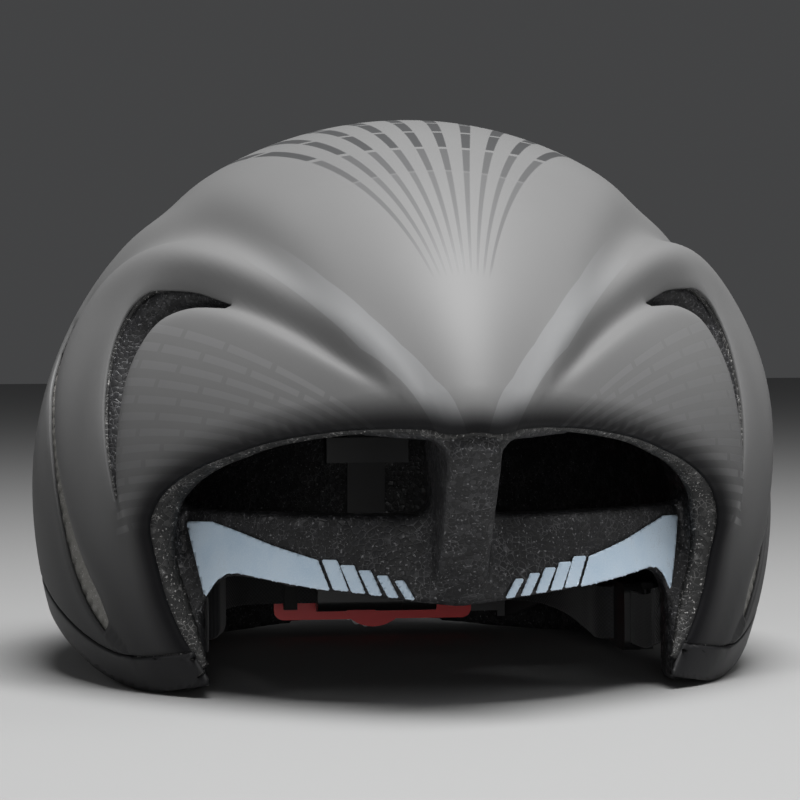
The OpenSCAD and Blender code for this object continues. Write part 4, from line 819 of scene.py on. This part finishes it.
webbing = []
for word, side in (("left", -1), ("right", 1)):
    for part in ("front_webbing", "rear_webbing", "chin_strap"):
        node = f"{part}_{word}"
        course = curve(mirrored(COURSES.get(node, COURSES.get(part)), side), 90)
        strap = band(f"woven_{node}", course, web_section(1.2, 15.0))
        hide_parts(node)
        if node == "chin_strap_right":
            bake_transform(strap)
        else:
            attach(strap, "helmet")
        webbing.append(strap)
print("straps", len(webbing))

# %% Side arms
def arm_section(thick, tall):
    """Moulded strip: rounded edges and a shallow groove along the middle of both faces."""
    t = np.linspace(0, 2 * np.pi, 40, endpoint=False)
    c, s = np.cos(t), np.sin(t)
    z = np.sign(s) * np.abs(s) ** 0.7 * tall / 2
    x = np.sign(c) * np.abs(c) ** 0.3 * thick / 2 * (1 - 0.28 * np.exp(-(z / 1.6) ** 4))
    return np.stack([x, z], -1)

RACK_Z, PIN_Z = {"left": 20.2, "right": 9.2}, 30
arms = []
for word, side in (("left", -1), ("right", 1)):
    zr = RACK_Z[word]
    def height(s):
        return PIN_Z + (zr - PIN_Z) * s
    def arm_spot(share, inset, s):
        y = ROOM_MID[1] + share * ROOM[1]
        return [wall_x(y) - inset, y, height(s)]
    points = [[70.55, -28.6, PIN_Z], arm_spot(-0.155, 7.4, -0.02), arm_spot(0.039, 7.5, -0.02),
              arm_spot(0.252, 7.6, 0.06), arm_spot(0.456, 8.7, 0.3), arm_spot(0.612, 9.2, 0.66),
              [45, 82, height(0.93)], [42.6, 87.6, zr]]
    arm = band(f"moulded_arm_{word}", curve(mirrored(points, side), 110), arm_section(1.5, 9.0))
    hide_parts(f"side_arm_{word}")
    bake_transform(arm)
    arms.append(arm)

# %% [markdown]
# ## Soft pieces on the cradle and the strap
# The small pads on the cradle's wings and the sleeve on the chin strap are the same cloth over foam. They start
# from the merged CAD solids, whose place on the wings and round the strap is already right, and swell a little.

# %% Cushions from CAD forms
def soft_copy(name, node, body, cell=0.001, cap=0.0006):
    """Cushion with the place and the form of a CAD node, in rounder cells."""
    obj = relax(remesh(merged_copy(node, name), cell), 4)
    obj.name = name
    swell(obj, cap, lambda p: np.zeros(len(p)))
    subdivide(obj)
    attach(obj, body)
    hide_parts(node)
    return obj

pads += [soft_copy("occipital_cushion_left", "occipital_pad_left", "cradle_body"),
         soft_copy("occipital_cushion_right", "occipital_pad_right", "cradle_body"),
         soft_copy("chin_sleeve", "chin_pad", "helmet", cap=0.0005)]

# %% [markdown]
# ## Reflective strips
# The strips are cut from thin film and stuck on the foam bar in front of the head room: a wing and five slanted
# bars on each side. A fine grid over the bar's rounded face is cut by the distance to each outline.

# %% Reflective strips
FILM_ROUND, FILM_OUT = 0.25, 0.42  # mm that an outline grows by, and mm that the film stands out

WING = np.array([[34.8, 36.4], [45, 39.5], [53, 42.6], [59.5, 44.8], [65.4, 44.4], [61.4, 26], [59, 30.2],
                 [56.3, 32.3], [53.5, 32.6], [44, 31], [32.2, 29.3]])

def bar_outline(i):
    """One slanted bar: four corners that follow the lower edge of the foam bar."""
    x, w = 33.4 - 4.35 * i, 3.2 - 0.35 * i
    low = lambda k: BROW_LOW + BROW_CURVE * abs(k)
    return np.array([[x, 2.2 + low(x) + 0.16 * x], [x - w, 2.2 + low(x) + 0.16 * x],
                     [x - w - 2.5, 0.6 + low(x - w)], [x - 2.5, 0.6 + low(x)]])

def brow_point(x, z, off):
    """Spot on the foam bar's face: an ellipsoid round the head room, raised by off."""
    g = np.clip(1 - (x / (82 + off)) ** 2 - ((z - 26) / 110) ** 2, 0, 1)
    return np.stack([x, 8 - (118.5 + off) * np.sqrt(g), z], -1)

def strip_piece(word, side):
    """All six films of one side as one mesh, each a grid cut at its own outline."""
    verts, faces, total = [], [], 0
    for outline in [WING] + [bar_outline(i) for i in range(5)]:
        lo, hi = outline.min(0) - 0.6, outline.max(0) + 0.6
        nx, nz = int((hi[0] - lo[0]) / 0.7) + 2, int((hi[1] - lo[1]) / 0.7) + 2
        spots = np.stack(np.meshgrid(np.linspace(lo[0], hi[0], nx), np.linspace(lo[1], hi[1], nz)), -1)
        i, j = grid_cells(nz - 1, nx - 1)
        p = i * nx + j
        tris = np.concatenate([np.stack([p, p + 1, p + nx], -1), np.stack([p + 1, p + nx + 1, p + nx], -1)])
        spots, tris = clip_sheet(spots.reshape(-1, 2), tris,
                                 lambda x, z: FILM_ROUND - outside_of(np.stack([x, z], -1), outline))
        verts.append(brow_point(spots[:, 0], spots[:, 1], FILM_OUT) * (side, 1, 1))
        faces.append((tris if side > 0 else tris[:, ::-1]) + total)
        total += len(spots)
    obj = new_object(f"film_{word}", np.concatenate(verts) / 1000, np.concatenate(faces))
    wall = obj.modifiers.new("film", "SOLIDIFY")
    wall.thickness, wall.offset = 0.00025, -1.0
    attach(obj, "helmet")
    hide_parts(f"brow_sticker_{word}")
    return obj

films = [strip_piece("left", -1), strip_piece("right", 1)]
print("films", [len(f.data.polygons) for f in films])

# %% [markdown]
# ## Finishes: small shader helpers
# A finish is a chain of nodes. Small helpers keep the cells short: each adds one node and feeds it with numbers
# or with other nodes' outputs. Effects that several finishes share, such as fine grain, foam beads and weave,
# are node groups with named inputs. They put out only masks, tones and heights, and each material sets its own
# gloss on its own shader.

# %% Node helpers
NOISE, CELLS = "ShaderNodeTexNoise", "ShaderNodeTexVoronoi"

def feed(tree, socket, value):
    """Sets a number or a colour on a socket, or links another node's output to it."""
    if isinstance(value, tuple):
        socket.default_value = (*value, 1)
    elif isinstance(value, (int, float)):
        socket.default_value = value
    else:
        tree.links.new(value, socket)

def calc(tree, op, *values):
    """A Math node: each value is a number or another node's output."""
    node = tree.nodes.new("ShaderNodeMath")
    node.operation = op
    for socket, value in zip(node.inputs, values):
        feed(tree, socket, value)
    return node.outputs[0]

def times(tree, *values):
    """Product of all the values."""
    out = values[0]
    for value in values[1:]:
        out = calc(tree, "MULTIPLY", out, value)
    return out

def inverse(tree, value):
    """1 minus a value."""
    return calc(tree, "SUBTRACT", 1.0, value)

def ramp(tree, value, low, high, out_low=0.0, out_high=1.0):
    """Smooth step from one value to another."""
    node = tree.nodes.new("ShaderNodeMapRange")
    node.interpolation_type = "SMOOTHSTEP"
    tree.links.new(value, node.inputs["Value"])
    for name, number in (("From Min", low), ("From Max", high), ("To Min", out_low), ("To Max", out_high)):
        node.inputs[name].default_value = number
    return node.outputs["Result"]

def mix(tree, share, first, second):
    """Colour between two colours, which are tuples or outputs."""
    node = tree.nodes.new("ShaderNodeMix")
    node.data_type = "RGBA"
    for k, value in ((0, share), (6, first), (7, second)):
        feed(tree, node.inputs[k], value)
    return node.outputs[2]

def attribute(tree, name):
    """Outputs of one attribute of the mesh: Fac for a number, Vector for three."""
    node = tree.nodes.new("ShaderNodeAttribute")
    node.attribute_name = name
    return node.outputs

def object_place(tree):
    """Object coordinates, in metres."""
    return tree.nodes.new("ShaderNodeTexCoord").outputs["Object"]

def split(tree, vector):
    """The three numbers of a vector."""
    node = tree.nodes.new("ShaderNodeSeparateXYZ")
    tree.links.new(vector, node.inputs["Vector"])
    return [node.outputs[k] for k in "XYZ"]

def texture(tree, kind, vector, scale, **settings):
    """Noise or Voronoi texture on a vector; settings are its sockets and enums."""
    node = tree.nodes.new(kind)
    tree.links.new(vector, node.inputs["Vector"])
    feed(tree, node.inputs["Scale"], scale)
    for key, value in settings.items():
        if key in node.inputs:
            node.inputs[key].default_value = value
        else:
            setattr(node, key, value)
    return node.outputs

def effect(name, number, default, outputs):
    """Empty node group whose inputs are Vector and one number: its tree, both inputs and its output sockets."""
    tree = bpy.data.node_groups.new(name, "ShaderNodeTree")
    tree.interface.new_socket(name="Vector", in_out="INPUT", socket_type="NodeSocketVector")
    socket = tree.interface.new_socket(name=number, in_out="INPUT", socket_type="NodeSocketFloat")
    socket.default_value = default
    for key in outputs:
        tree.interface.new_socket(name=key, in_out="OUTPUT", socket_type="NodeSocketFloat")
    into, out = tree.nodes.new("NodeGroupInput"), tree.nodes.new("NodeGroupOutput")
    return tree, into.outputs["Vector"], into.outputs[number], out.inputs

# %% Shared effects
def grain_effect():
    """Fine grain: one noise for height and a slower one for tone."""
    tree, vector, scale, out = effect("fine_grain", "Scale", 900.0, ["Height", "Tone"])
    tree.links.new(texture(tree, NOISE, vector, scale, Detail=3.0)["Fac"], out["Height"])
    tree.links.new(texture(tree, NOISE, vector, 26.0, Detail=4.0)["Fac"], out["Tone"])
    return tree

def bead_effect():
    """Moulded beads: round cells with dark joints; some cells are painted lighter as glints, and a pale web and
    specks in the joints are painted highlight.
    """
    tree, vector, scale, out = effect("foam_beads", "Scale", 330.0, ["Height", "Glint", "Highlight_Speck"])
    cells = texture(tree, CELLS, vector, scale, Randomness=0.9)
    edge = texture(tree, CELLS, vector, scale, feature="DISTANCE_TO_EDGE", Randomness=0.9)["Distance"]
    speck_highlight = texture(tree, NOISE, vector, 1500.0, Detail=2.0)["Fac"]
    patch = texture(tree, NOISE, vector, 180.0, Detail=3.0)["Fac"]
    drawn = tree.nodes.new("ShaderNodeSeparateColor")
    tree.links.new(cells["Color"], drawn.inputs["Color"])
    joint = ramp(tree, edge, 0.0, 0.10)
    # Painted highlight: a pale web along the joints, in patches.
    web = times(tree, inverse(tree, ramp(tree, edge, 0.0, 0.07)), ramp(tree, patch, 0.45, 0.62), 0.38)
    tree.links.new(times(tree, joint, calc(tree, "SUBTRACT", 1.15, cells["Distance"])), out["Height"])
    tree.links.new(times(tree, ramp(tree, drawn.outputs["Red"], 0.55, 0.95), joint), out["Glint"])
    # Painted highlight: the web and fine pale specks.
    tree.links.new(calc(tree, "MAXIMUM", web, ramp(tree, speck_highlight, 0.62, 0.72)), out["Highlight_Speck"])
    return tree

def weave_effect():
    """Plain weave: two crossed waves, each raised where the other dips."""
    tree, vector, pitch, out = effect("weave", "Pitch", 1.0, ["Height", "Tone"])
    turn = calc(tree, "DIVIDE", 2 * math.pi, pitch)
    warp, weft = (calc(tree, "SINE", times(tree, part, turn)) for part in split(tree, vector)[:2])
    high = calc(tree, "MULTIPLY_ADD", times(tree, warp, weft), 0.5, 0.5)
    fuzz = texture(tree, NOISE, vector, 2.0, Detail=3.0)["Fac"]
    tree.links.new(high, out["Height"])
    tree.links.new(calc(tree, "MULTIPLY_ADD", fuzz, 0.4, times(tree, high, 0.6)), out["Tone"])
    return tree

GRAIN, BEADS, WEAVE = grain_effect(), bead_effect(), weave_effect()

# %% Material helpers
FINISH = {}

def material(name, color, rough, **sockets):
    """Principled material with its plain values set straight on the shader's sockets, kept in FINISH."""
    mat = FINISH[name] = plain_material(name, color, rough)
    bsdf = mat.node_tree.nodes["Principled BSDF"]
    for key, value in sockets.items():
        bsdf.inputs[key.replace("_", " ")].default_value = value
    return mat.node_tree, bsdf

def place(tree, group, on=None, **values):
    """Outputs of one use of a shared effect, on a named attribute or else on Object coordinates."""
    node = tree.nodes.new("ShaderNodeGroup")
    node.node_tree = group
    tree.links.new(attribute(tree, on)["Vector"] if on else object_place(tree), node.inputs["Vector"])
    for key, value in values.items():
        node.inputs[key].default_value = value
    return node.outputs

def bump(tree, bsdf, height, depth_mm, strength):
    """Bump of a depth in mm on the shader's Normal."""
    node = tree.nodes.new("ShaderNodeBump")
    node.inputs["Distance"].default_value, node.inputs["Strength"].default_value = depth_mm / 1000, strength
    tree.links.new(height, node.inputs["Height"])
    tree.links.new(node.outputs["Normal"], bsdf.inputs["Normal"])

def toned(tree, bsdf, share, first, second, rough=None):
    """Base colour between two colours by a share, and roughness between two values."""
    tree.links.new(mix(tree, share, first, second), bsdf.inputs["Base Color"])
    if rough:
        tree.links.new(ramp(tree, share, 0.0, 1.0, *rough), bsdf.inputs["Roughness"])

# %% [markdown]
# ## Shell paint with its print
# The shell is matte charcoal. On it lie three glossy prints that only show in the light: a fan of dashed lines
# over the crown, rows of dashes on the cheeks, and a pale satin band on both sides of the nose. They are worked
# out from the angle and distance that each spot of the skin keeps, so they flow with the form. Painted shade
# darkens the colour down the sides and towards the mouth's lip.

# %% Shell paint
PAINT, PAINT_PALE, FAN_TONE = (0.150, 0.150, 0.150), (0.168, 0.168, 0.168), (0.045, 0.046, 0.048)
CHEEK_TONE, SATIN_TONE = (0.200, 0.200, 0.202), (0.235, 0.238, 0.242)
# Tones of painted shade: the first for the lower sides, the second for the mouth's lip.
LOW_SIDE_SHADE_TONE, LIP_SHADE_TONE = (0.009, 0.009, 0.010), (0.006, 0.006, 0.007)

def near_line(tree, value, half):
    """1 where a value is within half of a whole number."""
    share = calc(tree, "FRACT", calc(tree, "ADD", value, 100.5))
    off = calc(tree, "ABSOLUTE", calc(tree, "SUBTRACT", share, 0.5))
    return inverse(tree, ramp(tree, off, half * 0.86, half * 1.14))

def fan_print(tree, a, y):
    """Lines at half numbers of 24.6 a / (y + 154): dashes over the crown, long faint lines towards the nose. The
    rows are the whole numbers of (y + 59 - 0.021 a^2) / (17 + 0.016 a^2), so they bend forward at the sides."""
    index = calc(tree, "DIVIDE", times(tree, a, 24.6), calc(tree, "ADD", y, 154.0))
    square = times(tree, a, a)
    row = calc(tree, "DIVIDE", calc(tree, "ADD", calc(tree, "MULTIPLY_ADD", square, -0.021, y), 59.0),
               calc(tree, "MULTIPLY_ADD", square, 0.016, 17.0))
    lines = near_line(tree, calc(tree, "ADD", index, 0.5), 0.17)
    inside = inverse(tree, ramp(tree, calc(tree, "ABSOLUTE", index), 4.85, 4.95))
    over = ramp(tree, row, -1.0, -0.95)
    gap = inverse(tree, near_line(tree, row, 0.05))
    dashes = times(tree, gap, over, ramp(tree, row, -0.05, 0.05, 0.65, 1.0))
    faint = times(tree, inverse(tree, over), ramp(tree, y, -117.0, -112.0, 0.0, 0.5))
    ahead = inverse(tree, ramp(tree, y, 20.0, 75.0))
    return times(tree, lines, inside, calc(tree, "ADD", dashes, faint), ahead)

def cheek_print(tree, a, y):
    """Rows of dashes across the cheek. With c = |a| - 0.144 (y + 88) - 54.5 the row is c / (3.5 - 0.012 c), and
    the gaps are whole numbers of (y + 87.9 - 5.7 row) / 14.8, so each row is shifted like bricks."""
    c = calc(tree, "SUBTRACT", a, times(tree, calc(tree, "ADD", y, 88.0), 0.144))
    c = calc(tree, "SUBTRACT", c, 54.5)
    row = calc(tree, "DIVIDE", c, calc(tree, "SUBTRACT", 3.5, times(tree, c, 0.012)))
    shift = times(tree, calc(tree, "ROUND", row), 5.7)
    along = calc(tree, "DIVIDE", calc(tree, "SUBTRACT", calc(tree, "ADD", y, 87.9), shift), 14.8)
    ends = ramp(tree, row, -0.45, -0.35), inverse(tree, ramp(tree, row, 12.45, 12.6))
    return times(tree, near_line(tree, row, 0.235), inverse(tree, near_line(tree, along, 0.05)), *ends,
                 inverse(tree, ramp(tree, y, -59.0, -57.6)))

def shell_paint():
    """Paint, prints, then painted shade on the lower sides and at the lip, each laid over the last by its mask.
    """
    tree, bsdf = material("shell_paint", PAINT, 0.5, Specular_IOR_Level=0.5)
    a, y, signed = split(tree, attribute(tree, "sheet")["Vector"])
    fan, cheek = fan_print(tree, signed, y), cheek_print(tree, a, y)
    # Painted shade on the rolled lip, strongest at the mouth's rim.
    lip = inverse(tree, ramp(tree, attribute(tree, "lip")["Fac"], 1.5, 8.5))
    satin = times(tree, ramp(tree, attribute(tree, "band")["Fac"], -0.12, 0.12),
                  inverse(tree, ramp(tree, y, -122.0, -62.0)))
    # Painted shade: the colour darkens towards the bottom of the shell.
    low = inverse(tree, ramp(tree, split(tree, object_place(tree))[2], -0.01, 0.112))
    grain = place(tree, GRAIN, Scale=1400.0)
    base = mix(tree, grain["Tone"], PAINT, PAINT_PALE)
    for mask, share, tone in ((fan, 0.80, FAN_TONE), (cheek, 0.7, CHEEK_TONE), (satin, 0.75, SATIN_TONE),
                              (low, 0.94, LOW_SIDE_SHADE_TONE), (lip, 0.93, LIP_SHADE_TONE)):
        base = mix(tree, times(tree, mask, share), base, tone)
    tree.links.new(base, bsdf.inputs["Base Color"])
    gloss = calc(tree, "MAXIMUM", calc(tree, "MAXIMUM", fan, cheek), times(tree, satin, 0.6))
    tree.links.new(ramp(tree, gloss, 0.0, 1.0, 0.56, 0.30), bsdf.inputs["Roughness"])
    dull = calc(tree, "MAXIMUM", times(tree, lip, 0.85), times(tree, low, 0.75))
    tree.links.new(calc(tree, "MULTIPLY_ADD", dull, -0.38, 0.4), bsdf.inputs["Specular IOR Level"])
    bump(tree, bsdf, grain["Height"], 0.012, 0.35)

shell_paint()

# %% [markdown]
# ## The other finishes
# Each finish starts from its plain colour, and one shared effect gives it the grain, beads or weave that the
# real one shows at that size: bead foam with glints, knitted pads, woven webbing, moulded plastics with a fine
# spark-eroded grain, rubber, clear frosted plastic and turned steel.

# %% Foam, films, cloth and webbing
# Painted light: the tone of the foam in the side slit.
SLIT_FOAM_PAINTED_LIGHT = (0.21, 0.205, 0.19)

def foam_black(name, ground, glint, speck_highlight, share):
    """Bead foam: ground between a dark and a glinting tone, with pale specks in the joints as painted highlight,
    and painted light at the side slit.
    """
    tree, bsdf = material(name, ground, 0.5)
    beads = place(tree, BEADS, Scale=640.0)
    dark = mix(tree, beads["Glint"], ground, glint)
    # Painted light at the side slit, by the pale attribute.
    dark = mix(tree, times(tree, attribute(tree, "pale")["Fac"], 0.9), dark, SLIT_FOAM_PAINTED_LIGHT)
    toned(tree, bsdf, times(tree, beads["Highlight_Speck"], share), dark, speck_highlight)
    tree.links.new(ramp(tree, beads["Glint"], 0.0, 1.0, 0.55, 0.32), bsdf.inputs["Roughness"])
    bump(tree, bsdf, beads["Height"], 0.14, 0.7)

def grained(name, first, second, rough, scale=1500.0, depth=0.02, strength=0.5, **sockets):
    """Moulded plastic or rubber: slow tone, fine grain."""
    tree, bsdf = material(name, first, rough[0], **sockets)
    grain = place(tree, GRAIN, Scale=scale)
    toned(tree, bsdf, grain["Tone"], first, second, rough)
    bump(tree, bsdf, grain["Height"], depth, strength)

def cloth(name, first, second, pitch, on=None, depth=0.25, sheen=0.35):
    """Woven or knitted cloth: pitch in mm on an attribute, in metres on Object coordinates."""
    tree, bsdf = material(name, first, 0.85, Sheen_Weight=sheen, Sheen_Roughness=0.45)
    weave = place(tree, WEAVE, on, Pitch=pitch)
    toned(tree, bsdf, weave["Tone"], first, second)
    bump(tree, bsdf, weave["Height"], depth, 0.8)

def pearl_film():
    """Pale reflective film: small cells in a slow cloud."""
    tree, bsdf = material("pearl_film", (0.50, 0.64, 0.78), 0.3, Coat_Weight=0.4, Coat_Roughness=0.12)
    coord = object_place(tree)
    cells = times(tree, texture(tree, CELLS, coord, 2600.0)["Distance"], 0.3)
    slow = texture(tree, NOISE, coord, 130.0, Detail=5.0)["Fac"]
    share = calc(tree, "MULTIPLY_ADD", slow, 0.75, cells)
    toned(tree, bsdf, share, (0.42, 0.58, 0.74), (0.72, 0.82, 0.91), (0.36, 0.24))

grained("wrap_satin", (0.011, 0.011, 0.012), (0.017, 0.017, 0.018), (0.42, 0.50), 1100.0, 0.012, 0.35,
        Specular_IOR_Level=0.2)
# The liner's foam is the mouth edge's foam in darker tones: painted shade in the vents and head room.
foam_black("bead_foam", (0.006, 0.006, 0.007), (0.022, 0.022, 0.024), (0.24, 0.24, 0.25), 0.7)
foam_black("foam_skin", (0.011, 0.011, 0.011), (0.032, 0.032, 0.031), (0.42, 0.41, 0.40), 0.9)
pearl_film()
cloth("pad_knit", (0.016, 0.016, 0.018), (0.055, 0.056, 0.060), 0.0011, depth=0.22)
cloth("webbing_weave", (0.012, 0.012, 0.013), (0.050, 0.050, 0.052), 1.15, "weave", 0.16, 0.25)
grained("hook_tape", (0.022, 0.022, 0.024), (0.050, 0.050, 0.053), (0.75, 0.9), 3200.0, 0.25, 0.9)
grained("black_plastic", (0.016, 0.016, 0.018), (0.026, 0.026, 0.028), (0.42, 0.52))
grained("buckle_plastic", (0.012, 0.012, 0.013), (0.020, 0.020, 0.021), (0.28, 0.40), 1900.0)
grained("arm_plastic", (0.022, 0.022, 0.024), (0.036, 0.036, 0.038), (0.40, 0.55), 1300.0)
grained("rubber_ring", (0.014, 0.014, 0.014), (0.022, 0.022, 0.022), (0.68, 0.8), 2400.0, 0.03)
grained("red_plastic", (0.90, 0.010, 0.014), (0.96, 0.016, 0.020), (0.30, 0.40), 1200.0, 0.015)
grained("white_plastic", (0.62, 0.63, 0.65), (0.72, 0.73, 0.74), (0.35, 0.45), 1400.0, 0.015)
grained("frosted_clear", (0.80, 0.82, 0.84), (0.88, 0.90, 0.92), (0.30, 0.42), 1800.0, 0.02,
        Transmission_Weight=0.45, IOR=1.49)
grained("screw_steel", (0.50, 0.51, 0.53), (0.60, 0.61, 0.62), (0.22, 0.34), 2600.0, 0.01, Metallic=1.0)
print("finishes", sorted(FINISH))

# %% Every piece gets its finish
for finish, pieces in (("shell_paint", [shell]), ("wrap_satin", [wrap]), ("bead_foam", [liner]),
                       ("foam_skin", [mouth_edge, foam_face]), ("pearl_film", films), ("pad_knit", pads),
                       ("webbing_weave", webbing), ("arm_plastic", arms)):
    for obj in pieces:
        obj.data.materials.append(FINISH[finish])

NODE_FINISH = {
    "hook_tape": "hook_dots",
    "black_plastic": "temple_anchor_left temple_anchor_right strap_anchors cradle_cover hanger_guide",
    "buckle_plastic": "divider_left divider_right cam_lever_left cam_lever_right buckle_socket buckle_plug",
    "arm_plastic": "temple_ring_left temple_ring_right rack_left rack_right hanger_strap",
    "rubber_ring": "keeper_ring", "red_plastic": "cradle dial_cap", "screw_steel": "cradle_screws",
    "frosted_clear": "dial_wheel", "white_plastic": "pinion"}
finished = [(NODES[node], FINISH[finish]) for finish, nodes in NODE_FINISH.items() for node in nodes.split()]
for obj, finish in finished:
    if not obj.material_slots:
        obj.data.materials.append(finish)
    for slot in obj.material_slots:
        slot.material = finish
print("finished nodes", len(finished))
